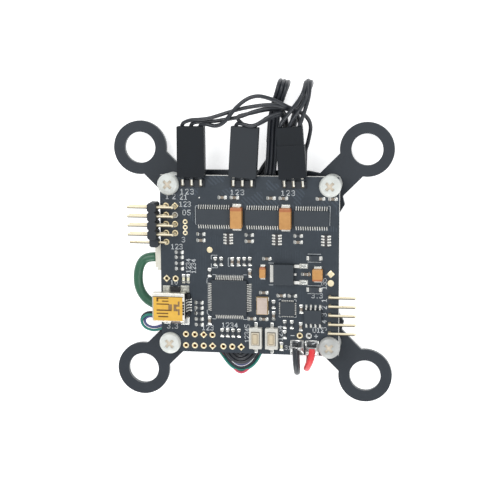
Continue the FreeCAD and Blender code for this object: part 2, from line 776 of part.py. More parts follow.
def chips():
    """Small chip parts, each one ceramic block with metal ends, lying along X or Y."""
    drivers = [driver_spot(index)[0] for index in range(3)]
    across = []
    for middle in drivers:
        across += [(middle + 2.4, spot(0, 19)[1]), (middle + 5.8, spot(0, 19)[1]),
                   (middle - 3.7, spot(0, 6.9)[1])]
    across += [spot(*p) for p in ((5, 2.1), (15.8, -2), (4.1, -7.5), (4.1, -15), (9, -8.2),
                                  (0.7, -15))]
    upright = [spot(*p) for p in ((-4.7, 1), (-2.9, 1.05), (0.25, -2.1), (-11.2, -15.9),
                                  (6.9, -14), (14.6, -11.9), (14.5, -16.9))]
    capacitors = [chip(x, y, "x") for x, y in across] + [chip(x, y, "y") for x, y in upright]
    keep(group(capacitors), "chip_capacitors")

    across = [(middle - 3.7, spot(0, 8.65)[1]) for middle in drivers]
    across += [spot(-19.7, y) for y in (3.4, 2, 0.3, -1.25)]
    across += [spot(-14.2, y) for y in (-10.8, -12.3, -13.8, -15.5, -17.1)]
    across += [spot(12.1, -8.2), (spot(-20.9, 0)[0], usb_middle + cell("usb_width") / 2 + 0.8)]
    upright = [spot(*p) for p in ((-9.5, 0.95), (-7.8, 1), (-1.3, 1.1), (0.25, 1.15),
                                  (-11.1, -2.2), (6.9, -10.8))]
    upright += [spot(x, -19.3) for x in (-7.65, -6.1, -4.55, -2.9)]
    upright += [spot(*p) for p in ((10, -16.4), (12, -16.4), (10, -19.3))]
    resistors = [chip(x, y, "x") for x, y in across] + [chip(x, y, "y") for x, y in upright]
    keep(group(resistors), "chip_resistors")

    keep(group([box(middle + 4, spot(0, 7.45)[1], board_top, cell("array_width"),
                    cell("array_length"), cell("chip_height")) for middle in drivers]),
         "resistor_arrays")
    keep(group([chip(*spot(x, y), "y") for x, y in ((-18.5, -4.1), (-17.2, -4.1),
                                                    (9.1, -22.7))]), "status_leds")


def chip(x, y, along):
    long, wide = cell("chip_length"), cell("chip_width")
    dx, dy = (long, wide) if along == "x" else (wide, long)
    return box(x, y, board_top, dx, dy, cell("chip_height"))


# ---------------------------------------------------------------- USB socket
def usb_socket():
    """Mini-B socket: folded steel shell, pick-up film, plastic tongue and contacts."""
    long, wide, high, wall = (cell("usb_length"), cell("usb_width"), cell("usb_height"),
                              cell("usb_wall"))
    left = -half_width - cell("usb_overhang")
    y = usb_middle
    foot, knee = cell("usb_lower_width"), cell("usb_knee")
    body = new_body("UsbShell")
    ring = new_sketch(body, "YZ_Plane")
    for inset in (as_size(0), wall):
        side, base = wide / 2 - inset, foot / 2 - inset * 0.7
        outline(ring, [(-base, inset), (base, inset), (side, knee), (side, high - inset),
                       (-side, high - inset), (-side, knee)])
    pad(body, ring, long)
    slots = new_sketch(body, level=high)
    start, reach = cell("usb_slot_start"), cell("usb_slot_length")
    thin = cell("usb_slot_width") / 2
    for middle in (-2.9, -1.3, 1.3, 2.9):
        rectangle(slots, start, thin * -1 + middle, start + reach, thin + middle)
    pocket(body, slots, wall)
    place(body, left, y, board_top)
    tabs, tab_wide, rim = [], cell("usb_tab_width"), cell("usb_rim")
    for sign in (-1, 1):
        for x in (left + cell("usb_front_tab"), left + cell("usb_rear_tab")):
            tabs.append(box(x, y + (foot + tab_wide) / 2 * sign, board_top,
                            cell("usb_tab_length"), tab_wide, wall))
    keep(fuse(body, *tabs), "usb_shell")

    film = box(left + long / 2, y, board_top + high, long - rim * 2, wide - rim * 2 - 0.1,
               cell("film_thick"))
    keep(film, "usb_pickup_film")

    inner = high - wall * 2
    back = cell("usb_back_length")
    block = box(left + long - back / 2, y, board_top + knee, back, wide - wall * 2 - 0.1,
                high - wall - knee)
    tongue = box(left + (long - back) / 2 + 0.9, y, board_top + wall + inner * 0.4,
                 long - back - 1.8, foot - 1.2, cell("usb_tongue_thick"))
    keep(fuse(block, tongue), "usb_insert")

    strip = new_body("UsbContacts")
    width, pitch = cell("usb_contact_width"), cell("usb_contact_pitch")
    thick = cell("lead_thick")
    profile = new_sketch(strip, "XZ_Plane", level=pitch * 2 - width / 2)
    far, drop = cell("usb_contact_length"), cell("usb_contact_drop")
    outline(profile, [(0, knee - thick), (drop, knee - thick), (drop * 1.5, 0), (far, 0),
                      (far, thick), (drop * 1.75, thick), (drop * 1.25, knee), (0, knee)])
    row_of(strip, [pad(strip, profile, width)], "Y_Axis", pitch, 5)
    place(strip, left + long - drop, y, board_top)
    keep(strip, "usb_contacts")


# ---------------------------------------------------------------- sensor connector
def sensor_connector():
    """Four-way socket under the left edge and the plug that sits in it."""
    long, wide, high, wall = (cell("sensor_length"), cell("sensor_width"),
                              cell("sensor_height"), cell("sensor_wall"))
    left = -half_width - cell("sensor_overhang")
    y, bottom = cell("sensor_y"), board_bottom - high
    plug_long = cell("sensor_plug_length")
    plug_left = left - cell("sensor_plug_proud")
    depth = plug_long - cell("sensor_plug_proud")
    shell = box(left + long / 2, y, bottom, long, wide, high)
    well = box(left + depth / 2, y, bottom + wall, depth, wide - wall * 2, high - wall * 2)
    keep(cut(shell, well), "sensor_socket")
    slack = cell("thread_clearance")
    plug = box(plug_left + plug_long / 2, y, bottom + wall + slack, plug_long,
               wide - (wall + slack) * 2, high - (wall + slack) * 2)
    keep(plug, "sensor_plug")


# ---------------------------------------------------------------- push buttons
def push_buttons():
    """Two 3 x 6 mm push switches: base, steel cover, snap dome and key."""
    long, wide = cell("switch_length"), cell("switch_width")
    base_high, cover = cell("switch_base"), cell("switch_cover")
    gap, lift = cell("key_clearance"), cell("key_lift")
    leg, leg_wide = cell("switch_leg_length"), cell("switch_leg_width")
    depth = cell("key_flange") + lift + cell("key_travel") + cell("dome_folded")
    terminals = []
    for name, (x, y) in (("reset", spot(1.95, -20.3)), ("boot", spot(6.45, -20.3))):
        block = box(x, y, board_top, wide, long, base_high)
        floor = board_top + base_high - depth
        well = box(x, y, floor, cell("well_width"), cell("well_length"), depth)
        keep(cut(block, well), f"{name}_switch_base")
        frame = box(x, y, board_top + base_high, wide, long, cover)
        window = box(x, y, board_top + base_high, cell("key_width") + gap * 2,
                     cell("key_length") + gap * 2, cover)
        keep(cut(frame, window), f"{name}_switch_cover")
        under = board_top + base_high - lift - cell("key_flange")
        flange = box(x, y, under, cell("well_width") - gap * 2, cell("well_length") - gap * 2,
                     cell("key_flange"))
        stem = box(x, y, under, cell("key_width"), cell("key_length"),
                   cell("key_height") - base_high + lift + cell("key_flange"))
        keep(fuse(flange, stem), f"{name}_button")
        dome = doc.addObject("Part::Cone", "Dome")
        bind(dome, Radius1=cell("dome_radius"), Radius2=cell("dome_radius") * 0.4,
             Height=under - floor)
        place(dome, x, y, floor)
        keep(dome, f"{name}_dome")
        for side in (-1, 1):
            terminals.append(box(x, y + (long + leg) / 2 * side, board_top, leg_wide, leg,
                                 cell("switch_leg_thick")))
    keep(group(terminals), "switch_terminals")


# ---------------------------------------------------------------- wires
def rounded_path(points):
    """Straight runs joined by tangent arcs, each as large as its two runs allow."""
    edges, radii = [], []
    here = points[0]
    for before, corner, after in zip(points, points[1:], points[2:]):
        first, second = before - corner, after - corner
        run = 0.45 * min(first.Length, second.Length)
        first.normalize()
        second.normalize()
        half_turn = (math.pi - first.getAngle(second)) / 2
        radius = run / math.tan(half_turn)
        radii.append(radius)
        start, end = corner + first * run, corner + second * run
        middle = first + second
        middle.normalize()
        crest = corner + middle * (radius / math.cos(half_turn) - radius)
        edges.append(Part.LineSegment(here, start).toShape())
        edges.append(Part.Arc(start, crest, end).toShape())
        here = end
    edges.append(Part.LineSegment(here, points[-1]).toShape())
    return Part.Wire(edges), radii


def tube(label, points, diameter, sides=6):
    """A plain many-sided solid along a wire's route."""
    path, radii = rounded_path([V(*point) for point in points])
    direction = V(*points[1]) - V(*points[0])
    direction.normalize()
    across = direction.cross(UP)
    across.normalize()
    lift = across.cross(direction)
    area_match = math.sqrt(math.pi / (sides / 2 * math.sin(2 * math.pi / sides)))
    reach = diameter.value / 2 * area_match
    rim = []
    for i in range(sides + 1):
        angle = 2 * math.pi * (i % sides) / sides
        rim.append(V(*points[0]) + across * (reach * math.cos(angle)) + lift * (reach * math.sin(angle)))
    solid = path.makePipe(Part.Face(Part.makePolygon(rim)))
    feature = doc.addObject("Part::Feature", "Tube")
    feature.Shape = solid
    keep(feature, label)
    section = math.pi * (diameter.value / 2) ** 2
    print(f"{label}: length {path.Length:.1f}, smallest radius {min(radii):.1f} "
          f"({min(radii) / diameter.value:.1f} diameters), "
          f"volume ratio {solid.Volume / (section * path.Length):.3f}")
    return feature


def plug_rear(index):
    """Centre of a motor plug's rear face, and the way its wires leave."""
    middle, y = motor_pins(index)
    angle = math.radians(leans()[index].value)
    along = V(-math.sin(angle), math.cos(angle), 0)
    reach = cell("plug_mouth").value + cell("plug_length").value
    return V(middle.value, y.value, pin_level.value) + along * reach, along


def from_plug(index, straight, route):
    """A lead's route, started with a straight run out of its plug."""
    rear, along = plug_rear(index)
    return [tuple(rear), tuple(rear + along * straight)] + route


def wires():
    """Seven limp leads; the three motor leads pass over each other behind the plugs."""
    bundle, ribbon = cell("motor_bundle"), cell("ribbon_bundle")
    # Sideways over the other two leads, down beside the third plug, through the gap
    # under the board, out in a turn past the lower edge and back into the gap.
    first = from_plug(0, 2.6, [
        (-13.8, 43.2, 14.0), (-9.6, 43.0, 15.0), (-5.0, 43.4, 15.8), (-0.6, 45.2, 16.4),
        (4.0, 46.9, 16.7), (8.6, 46.9, 16.4), (12.6, 45.3, 13.8), (15.9, 42.2, 11.6),
        (17.0, 37.6, 9.8), (16.4, 32.6, 8.4), (15.2, 27.6, 7.4), (14.4, 22.0, 6.9),
        (13.8, 15.6, 6.9), (12.8, 8.6, 6.9), (11.2, 1.4, 6.9), (8.8, -5.6, 6.9),
        (5.8, -12.2, 6.9), (3.8, -18.4, 7.4), (3.0, -23.6, 8.2), (0.9, -27.8, 8.6),
        (-3.0, -29.6, 8.6), (-6.8, -27.6, 8.6), (-8.4, -23.4, 8.2), (-8.6, -18.6, 6.9),
        (-8.4, -14.2, 6.9)])
    tube("motor_lead_0", first, bundle)
    # Over the ribbon, down behind the third plug and back under it into the gap.
    second = from_plug(1, 2.4, [
        (1.0, 42.9, 14.3), (4.4, 43.3, 16.1), (7.6, 43.3, 16.5), (9.0, 42.5, 14.2),
        (9.3, 40.7, 11.0), (9.0, 37.8, 8.7), (7.6, 34.0, 7.2), (5.2, 30.2, 6.6),
        (2.8, 26.0, 6.8), (0.8, 20.8, 6.9), (-0.9, 15.0, 6.9), (-1.5, 8.4, 6.9),
        (-1.4, 1.6, 6.9), (-2.2, -5.0, 6.9)])
    tube("motor_lead_1", second, bundle)
    # Up and over in a wide turn, back along the ground, up through the plate's opening,
    # out between two plugs as a ribbon, over in a second turn and back to the ground.
    third = from_plug(2, 1.8, [
        (12.1, 42.2, 14.9), (13.1, 44.9, 17.4), (15.3, 48.9, 17.3), (16.8, 51.4, 13.1),
        (17.2, 51.3, 7.4), (16.9, 48.5, 2.8), (16.2, 43.6, 1.45), (15.6, 37.8, 1.45),
        (15.2, 31.2, 1.45), (14.6, 24.6, 1.45), (13.6, 18.2, 1.45), (12.4, 12.4, 1.5),
        (10.3, 7.8, 2.6), (6.9, 5.3, 4.4), (3.9, 6.5, 6.4), (2.5, 10.0, 7.9),
        (2.8, 14.4, 8.7), (4.0, 19.0, 8.8), (5.2, 23.4, 8.7), (5.8, 28.2, 9.2),
        (6.0, 33.4, 9.7), (6.1, 38.6, 9.8), (7.0, 43.0, 11.3), (8.4, 47.0, 13.2),
        (9.7, 50.4, 10.8), (10.0, 51.0, 6.0), (9.6, 48.2, 2.2), (9.0, 43.6, 1.45),
        (8.6, 38.4, 1.45), (8.3, 33.4, 1.45)])
    tube("motor_lead_2", third, ribbon)
    tinned_ends(first, second, third)

    # Over the lower edge, round under the plate and sideways into one loose plug.
    power = cell("power_wire")
    (black_x, pad_y), (red_x, _) = power_pads()
    rise = board_top.value + 1.3
    tube("power_wire_black", [
        (black_x.value, pad_y.value, rise), (black_x.value, pad_y.value - 4.6, rise), (13.5, -30.9, 9.8), (13.6, -30.9, 4.7),
        (13.4, -27.4, 1.3), (12.9, -22.8, 1.3), (10.4, -19.6, 1.3), (5.8, -18.47, 1.3),
        (1.5, -18.47, 1.3)], power)
    tube("power_wire_red", [
        (red_x.value, pad_y.value, rise), (red_x.value, pad_y.value - 4.1, rise), (16.6, -30.3, 9.8), (16.2, -30.4, 4.8),
        (16.0, -27.0, 1.3), (15.8, -22.0, 1.3), (13.2, -17.4, 1.3), (7.4, -15.93, 1.3),
        (1.5, -15.93, 1.3)], power)
    plug = turn_body(plug_shape(2), -90)
    place(plug, as_size(1.5) - cell("plug_length"), -17.2, 1.3)
    keep(plug, "power_plug")

    # A sleeved bow beside the left edge, then the bare wires: a turn in the gap, a small
    # loop out and in again, a wide turn past the lower edge, and the far plug in the gap.
    tube("sensor_sleeve", [
        (-27.1, 1.4, 8.9), (-29.7, 1.4, 8.9), (-31.7, -0.6, 8.9), (-32.5, -4.2, 8.8),
        (-32.1, -8.0, 8.7), (-30.2, -11.0, 8.6), (-27.0, -12.6, 8.6), (-23.4, -13.0, 8.6)],
        cell("sleeve_wire"))
    tube("sensor_lead", [
        (-23.4, -13.0, 8.6), (-20.4, -13.33, 8.6), (-17.6, -13.5, 8.6), (-15.7, -15.0, 8.6),
        (-15.6, -17.4, 8.6), (-17.3, -19.1, 8.6), (-20.0, -19.0, 8.6), (-23.6, -17.2, 8.6),
        (-26.9, -15.6, 8.3), (-29.9, -15.3, 7.9), (-31.7, -16.9, 7.6), (-31.0, -19.2, 7.3),
        (-28.2, -20.1, 7.0), (-25.0, -18.8, 6.7), (-21.2, -17.3, 6.55), (-17.0, -17.6, 6.6),
        (-13.4, -20.2, 6.6), (-11.2, -24.0, 6.6), (-8.8, -28.6, 6.6), (-5.0, -32.1, 6.6),
        (-0.2, -31.9, 6.6), (3.6, -28.2, 6.6), (6.4, -22.8, 6.7), (9.0, -17.8, 6.7),
        (12.6, -17.8, 6.7)], cell("sensor_wire"))
    far_long, far_wide, far_high = (cell("far_plug_length"), cell("far_plug_width"),
                                    cell("far_plug_height"))
    keep(box(as_size(12.6) + far_long / 2, -17.8, as_size(6.7) - far_high / 2,
             far_long, far_wide, far_high), "sensor_lead_plug")


def tinned_ends(*leads):
    """The stripped and tinned conductors at the far end of each motor lead."""
    tips = []
    wide, long = cell("tinned_width"), cell("tinned_length")
    for route in leads:
        end, before = V(*route[-1]), V(*route[-2])
        heading = end - before
        angle = math.degrees(math.atan2(heading.y, heading.x)) - 90
        for shift in (-0.62, 0, 0.62):
            tip = box(shift, long / 2, -wide / 2, wide, long, wide)
            carrier = turn_body(group([tip]), angle)
            place(carrier, end.x, end.y, end.z)
            tips.append(carrier)
    keep(group(tips), "tinned_lead_ends")


def power_pads():
    """Where the black and the red supply wire leave their solder, near the lower edge."""
    edge = -half_depth + 2.4
    return (spot(13.2, 0)[0], edge), (spot(17.7, 0)[0], edge)


def power_solder():
    """Solder that holds the two supply wires on their pads."""
    mounds = []
    for x, y in power_pads():
        mound = doc.addObject("Part::Wedge", "Mound")
        wide, deep, high = (cell("power_pad_width"), cell("solder_length"),
                            cell("solder_height"))
        bind(mound, Xmin=0, Ymin=0, Zmin=0, X2min=0.7, Z2min=0, Xmax=wide, Ymax=high,
             Zmax=deep, X2max=wide - 0.7, Z2max=deep * 0.55)
        mound.Placement.Rotation = FreeCAD.Rotation(V(1, 0, 0), 90)
        place(mound, x - wide / 2, y + deep, board_top)
        mounds.append(mound)
    keep(group(mounds), "power_solder")


# ---------------------------------------------------------------- build
damper_plate()
pcb()
nylon_screws()
nylon_nuts()
spacers()
motor_header_pins()
servo_header_pins()
rc_header()
motor_plugs()
crimp_contacts()
packages()
regulator()
crystal()
capacitors_and_diodes()
chips()
usb_socket()
sensor_connector()
push_buttons()
power_solder()
wires()
doc.recompute()

faults = []
for obj in doc.Objects:
    if "Invalid" in obj.State or "Error" in obj.State:
        faults.append(f"{obj.Name} ({obj.Label}) is {obj.State}")
for node in nodes:
    if node.Shape.isNull() or not node.Shape.isValid():
        faults.append(f"{node.Label} has no valid shape")
    elif not node.Shape.Solids:
        faults.append(f"{node.Label} has no solid")
if faults:
    raise RuntimeError("\n".join(faults))
for node in nodes:
    node.Shape.exportStep(f"parts/{node.Label}.step")
print(f"{len(nodes)} nodes, {sum(len(node.Shape.Solids) for node in nodes)} solids")
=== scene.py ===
import math

import bmesh
import bpy
from mathutils import Matrix, Vector


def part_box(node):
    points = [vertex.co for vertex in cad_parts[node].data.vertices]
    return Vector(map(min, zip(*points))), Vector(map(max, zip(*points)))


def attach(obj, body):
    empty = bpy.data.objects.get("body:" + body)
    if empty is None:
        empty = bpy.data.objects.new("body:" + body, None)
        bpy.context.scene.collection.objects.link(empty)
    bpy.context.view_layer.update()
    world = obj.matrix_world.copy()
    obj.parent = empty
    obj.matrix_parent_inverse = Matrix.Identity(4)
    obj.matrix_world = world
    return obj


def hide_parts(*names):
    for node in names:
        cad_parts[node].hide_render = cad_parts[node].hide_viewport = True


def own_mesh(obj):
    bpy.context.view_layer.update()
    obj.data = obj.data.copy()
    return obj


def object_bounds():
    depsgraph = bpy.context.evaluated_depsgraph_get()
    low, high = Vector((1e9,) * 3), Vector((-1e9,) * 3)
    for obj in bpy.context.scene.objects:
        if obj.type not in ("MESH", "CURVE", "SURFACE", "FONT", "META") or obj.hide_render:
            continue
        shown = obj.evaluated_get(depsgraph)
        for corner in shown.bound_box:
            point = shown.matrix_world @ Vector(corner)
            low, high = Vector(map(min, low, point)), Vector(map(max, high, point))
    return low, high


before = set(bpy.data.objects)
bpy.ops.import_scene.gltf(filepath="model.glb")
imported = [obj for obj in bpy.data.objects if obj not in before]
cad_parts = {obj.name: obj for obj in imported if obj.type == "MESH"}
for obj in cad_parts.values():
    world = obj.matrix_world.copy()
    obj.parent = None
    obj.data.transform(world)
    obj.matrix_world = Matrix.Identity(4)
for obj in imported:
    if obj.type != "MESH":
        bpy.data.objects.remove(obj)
cad_low, cad_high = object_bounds()

# ---------------------------------------------------------------- studio
# A pale matt floor under three soft lamps, with an even white surround,
# and a camera almost straight above the board.
MM = 0.001


def shade(red, green, blue):
    """A colour given as on a paint card, 0 to 255, as linear light."""
    return tuple(
        (part / 255 / 12.92) if part <= 10 else ((part / 255 + 0.055) / 1.055) ** 2.4
        for part in (red, green, blue)
    )


def plain_finish(name, colour, roughness, metallic=0.0):
    """A Principled material, its node tree and its shader."""
    material = bpy.data.materials.new(name)
    material.use_nodes = True
    shader = material.node_tree.nodes["Principled BSDF"]
    shader.inputs["Base Color"].default_value = (*colour, 1)
    shader.inputs["Roughness"].default_value = roughness
    shader.inputs["Metallic"].default_value = metallic
    return material, material.node_tree, shader


def mesh_piece(name, shape, materials):
    """Turn a bmesh into a shown object at the origin."""
    mesh = bpy.data.meshes.new(name)
    shape.to_mesh(mesh)
    shape.free()
    for material in materials:
        mesh.materials.append(material)
    piece = bpy.data.objects.new(name, mesh)
    bpy.context.scene.collection.objects.link(piece)
    return piece


floor_shape = bmesh.new()
bmesh.ops.create_grid(floor_shape, x_segments=2, y_segments=2, size=1.2)
bmesh.ops.translate(floor_shape, verts=floor_shape.verts, vec=(0, 0, cad_low.z))
floor_paint, _, shader = plain_finish("floor_paint", (0.92, 0.92, 0.92), 0.9)
shader.inputs["Emission Color"].default_value = (1, 1, 1, 1)
shader.inputs["Emission Strength"].default_value = 0.6
mesh_piece("floor", floor_shape, [floor_paint])

world = bpy.data.worlds.new("surround")
world.use_nodes = True
world.node_tree.nodes["Background"].inputs["Color"].default_value = (0.94, 0.97, 1.0, 1)
world.node_tree.nodes["Background"].inputs["Strength"].default_value = 0.62
bpy.context.scene.world = world


def soft_lamp(name, place, size, power):
    data = bpy.data.lights.new(name, "AREA")
    data.shape, data.size, data.energy = "DISK", size, power
    lamp = bpy.data.objects.new(name, data)
    lamp.location = place
    lamp.rotation_euler = (-Vector(place)).to_track_quat("-Z", "Y").to_euler()
    bpy.context.scene.collection.objects.link(lamp)


soft_lamp("key_lamp", (-0.25, 0.35, 0.75), 0.5, 3.2)
soft_lamp("fill_lamp", (0.45, -0.15, 0.6), 0.6, 1.7)
soft_lamp("near_lamp", (-0.12, -0.8, 0.3), 0.45, 2.6)

camera_data = bpy.data.cameras.new("camera")
camera_data.sensor_width = 36
camera_data.lens = 94.71
camera_data.clip_start, camera_data.clip_end = 0.01, 10
camera = bpy.data.objects.new("camera", camera_data)
camera.location = (0.05477, 0.06392, 0.3673)
camera.rotation_euler = (-0.164617, 0.151526, -0.0038977)
bpy.context.scene.collection.objects.link(camera)
bpy.context.scene.camera = camera
bpy.context.scene.view_settings.view_transform = "Standard"


# ---------------------------------------------------------------- damper plate
# The black plate that carries the board: 1.5 mm glass fibre sheet, routed to a
# core and four arms with damper holes.  The routed edge shows paler fibres, and
# its lighter grey is also a painted highlight of the lit edge face.


def new_group(name, inputs, outputs):
    """An empty node group of plain number sockets, with its two ends."""
    group = bpy.data.node_groups.new(name, "ShaderNodeTree")
    for label, start in inputs.items():
        socket = group.interface.new_socket(label, in_out="INPUT", socket_type="NodeSocketFloat")
        socket.default_value = start
    for label in outputs:
        group.interface.new_socket(label, in_out="OUTPUT", socket_type="NodeSocketFloat")
    return group, group.nodes.new("NodeGroupInput").outputs, group.nodes.new("NodeGroupOutput").inputs


def maths(tree, operation, *values):
    """One Math node; a value is a number or a socket to link."""
    node = tree.nodes.new("ShaderNodeMath")
    node.operation = operation
    for socket, value in zip(node.inputs, values):
        if isinstance(value, (int, float)):
            socket.default_value = value
        else:
            tree.links.new(value, socket)
    return node.outputs[0]


def band(tree, value, low, high):
    """One between two limits and zero outside them."""
    return maths(tree, "MULTIPLY", maths(tree, "GREATER_THAN", value, low),
                 maths(tree, "LESS_THAN", value, high))


def object_place(tree):
    return tree.nodes.new("ShaderNodeTexCoord").outputs["Object"]


def object_axes(tree):
    split = tree.nodes.new("ShaderNodeSeparateXYZ")
    tree.links.new(object_place(tree), split.inputs[0])
    return split.outputs


def noise(tree, scale, detail=2.0):
    node = tree.nodes.new("ShaderNodeTexNoise")
    node.inputs["Detail"].default_value = detail
    tree.links.new(object_place(tree), node.inputs["Vector"])
    if isinstance(scale, (int, float)):
        node.inputs["Scale"].default_value = scale
    else:
        tree.links.new(scale, node.inputs["Scale"])
    return node.outputs["Fac"]


surface_grain, grain_in, grain_out = new_group(
    "surface_grain", {"Scale": 3000.0}, ["Tone", "Height"])
broad = noise(surface_grain, maths(surface_grain, "MULTIPLY", grain_in["Scale"], 0.12), 3.0)
fine = noise(surface_grain, grain_in["Scale"], 2.0)
blend = maths(surface_grain, "MULTIPLY_ADD", fine, 0.45, maths(surface_grain, "MULTIPLY", broad, 0.55))
spread = maths(surface_grain, "MULTIPLY_ADD", blend, 2.2, -0.6)
surface_grain.links.new(maths(surface_grain, "MINIMUM", maths(surface_grain, "MAXIMUM", spread, 0.0), 1.0),
                        grain_out["Tone"])
surface_grain.links.new(fine, grain_out["Height"])

cut_edge, edge_in, edge_out = new_group("cut_edge", {"Bottom": 0.0, "Top": 0.001}, ["Mask"])
cut_edge.links.new(band(cut_edge, object_axes(cut_edge)["Z"], edge_in["Bottom"], edge_in["Top"]),
                   edge_out["Mask"])


def use_group(tree, group, **values):
    """Place a shared group in a material with its own values."""
    node = tree.nodes.new("ShaderNodeGroup")
    node.node_tree = group
    for label, value in values.items():
        node.inputs[label].default_value = value
    return node.outputs


def mixed(tree, factor, first, second):
    """A colour between two; each is a paint-card colour or a socket."""
    node = tree.nodes.new("ShaderNodeMix")
    node.data_type = "RGBA"
    tree.links.new(factor, node.inputs[0])
    for socket, colour in ((node.inputs[6], first), (node.inputs[7], second)):
        if isinstance(colour, tuple):
            socket.default_value = (*shade(*colour), 1)
        else:
            tree.links.new(colour, socket)
    return node.outputs[2]


def raise_surface(tree, shader, height, depth):
    """Relief of a given depth in metres."""
    bump = tree.nodes.new("ShaderNodeBump")
    bump.inputs["Strength"].default_value = 1.0
    bump.inputs["Distance"].default_value = depth
    tree.links.new(height, bump.inputs["Height"])
    tree.links.new(bump.outputs["Normal"], shader.inputs["Normal"])


def grained_parts(name, dark, light, roughness, metallic=0.0, grain=3000.0, depth=4e-6, sheen_range=0.1):
    """A finish of two near tones in a fine grain, with its own gloss and relief:
    its material, tree, shader and colour."""
    material, tree, shader = plain_finish(name, shade(*dark), roughness, metallic)
    marks = use_group(tree, surface_grain, Scale=grain)
    colour = mixed(tree, marks["Tone"], dark, light)
    tree.links.new(colour, shader.inputs["Base Color"])
    gloss = maths(tree, "MULTIPLY_ADD", marks["Tone"], sheen_range, roughness - sheen_range / 2)
    tree.links.new(gloss, shader.inputs["Roughness"])
    raise_surface(tree, shader, marks["Height"], depth)
    return material, tree, shader, colour


def grained(*settings, **more):
    """Only the material of such a finish."""
    return grained_parts(*settings, **more)[0]


def dress(names, material, edge=0.0):
    """Give CAD nodes their finish and, where asked, slightly rounded edges in mm."""
    for name in names.split():
        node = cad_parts[name]
        if node.material_slots:
            node.material_slots[0].material = material
        else:
            node.data.materials.append(material)
        if edge:
            weld = node.modifiers.new("weld", "WELD")
            weld.merge_threshold = 1e-6
            bevel = node.modifiers.new("edges", "BEVEL")
            bevel.width = edge * MM
            bevel.segments = 2
            bevel.limit_method = "ANGLE"
            bevel.angle_limit = math.radians(40)


plate_low, plate_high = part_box("damper_plate")
plate_sheet, tree, shader, sheet_colour = grained_parts(
    "black_glass_sheet", (28, 35, 43), (36, 43, 51), 0.52, grain=1500.0)
EDGE_SKIN = 0.05 * MM
rim = use_group(tree, cut_edge, Bottom=plate_low.z + EDGE_SKIN, Top=plate_high.z - EDGE_SKIN)["Mask"]
# The routed edge: paler fibres, lightened further as a painted highlight of the lit edge face.
routed = mixed(tree, noise(tree, 9000.0, 1.0), (62, 66, 70), (104, 108, 108))
tree.links.new(mixed(tree, rim, sheet_colour, routed), shader.inputs["Base Color"])
axes = object_axes(tree)
WEAVE_PITCH, WEAVE_DEPTH = 0.62 * MM, 1.5e-6
warp, weft = (maths(tree, "SINE", maths(tree, "MULTIPLY", axes[way], 2 * math.pi / WEAVE_PITCH))
              for way in "XY")
raise_surface(tree, shader, maths(tree, "MULTIPLY", warp, weft), WEAVE_DEPTH)
dress("damper_plate", plate_sheet)

# ---------------------------------------------------------------- stand-offs
# Four pan-head M3 screws of milky nylon pass through the board, round spacers
# and the plate into hexagon nuts.  The cross recess is tinted a warm cream, and
# the nylon at the lower right corner is darkened with painted shade.
screw_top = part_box("nylon_screws")[1].z
nylon, tree, shader, nylon_colour = grained_parts(
    "milky_nylon", (200, 203, 198), (216, 218, 213), 0.34, grain=900.0, depth=2e-6)
shader.inputs["Subsurface Weight"].default_value = 0.12
shader.inputs["Subsurface Radius"].default_value = (0.0012, 0.0011, 0.0010)
shader.inputs["Subsurface Scale"].default_value = 1.0
axes = object_axes(tree)
SCREW_PLACE, RECESS_REACH = 22.5 * MM, 1.5 * MM
squares = [maths(tree, "POWER", maths(tree, "SUBTRACT", maths(tree, "ABSOLUTE", axes[way]), SCREW_PLACE), 2.0)
           for way in "XY"]
from_middle = maths(tree, "SQRT", maths(tree, "ADD", *squares))
in_recess = maths(tree, "MULTIPLY", maths(tree, "LESS_THAN", from_middle, RECESS_REACH),
                  use_group(tree, cut_edge, Bottom=screw_top - 1.6 * MM, Top=screw_top - 0.32 * MM)["Mask"])
# Painted shade: the screw, spacer and nut at the lower right corner are mixed towards grey.
shaded_corner_mask = maths(tree, "MULTIPLY", maths(tree, "GREATER_THAN", axes["X"], 0.0),
                    maths(tree, "LESS_THAN", axes["Y"], 0.0))
corner_shaded_colour = mixed(tree, maths(tree, "MULTIPLY", shaded_corner_mask, 0.7), nylon_colour, (158, 158, 156))
tree.links.new(mixed(tree, in_recess, corner_shaded_colour, (222, 210, 192)), shader.inputs["Base Color"])
dress("nylon_screws spacers", nylon)
dress("nylon_nuts", nylon, edge=0.15)

# ---------------------------------------------------------------- board
# A 50 mm square of 1.6 mm glass epoxy under a blue-black solder mask.  Covered
# copper runs stand out faintly; the cut edge is bare straw-coloured laminate,
# painted near white, partly as a painted highlight along the edge.
board_low, board_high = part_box("pcb")
TOP, UNDER = board_high.z, board_low.z
DECK, UNDERSIDE = TOP / MM, UNDER / MM         # the same two levels in mm

trace_runs, runs_in, runs_out = new_group(
    "trace_runs", {"Pitch": 0.7 * MM, "Slant": 1.0, "Share": 0.5}, ["Mask"])
axes = object_axes(trace_runs)
across = maths(trace_runs, "MULTIPLY_ADD", axes["Y"], runs_in["Slant"], axes["X"])
turns = maths(trace_runs, "FRACT", maths(trace_runs, "DIVIDE", across, runs_in["Pitch"]))
off_middle = maths(trace_runs, "ABSOLUTE", maths(trace_runs, "SUBTRACT", turns, 0.5))
run = maths(trace_runs, "LESS_THAN", off_middle, 0.22)
patches = maths(trace_runs, "GREATER_THAN", noise(trace_runs, 260.0, 0.0), runs_in["Share"])
trace_runs.links.new(maths(trace_runs, "MULTIPLY", run, patches), runs_out["Mask"])

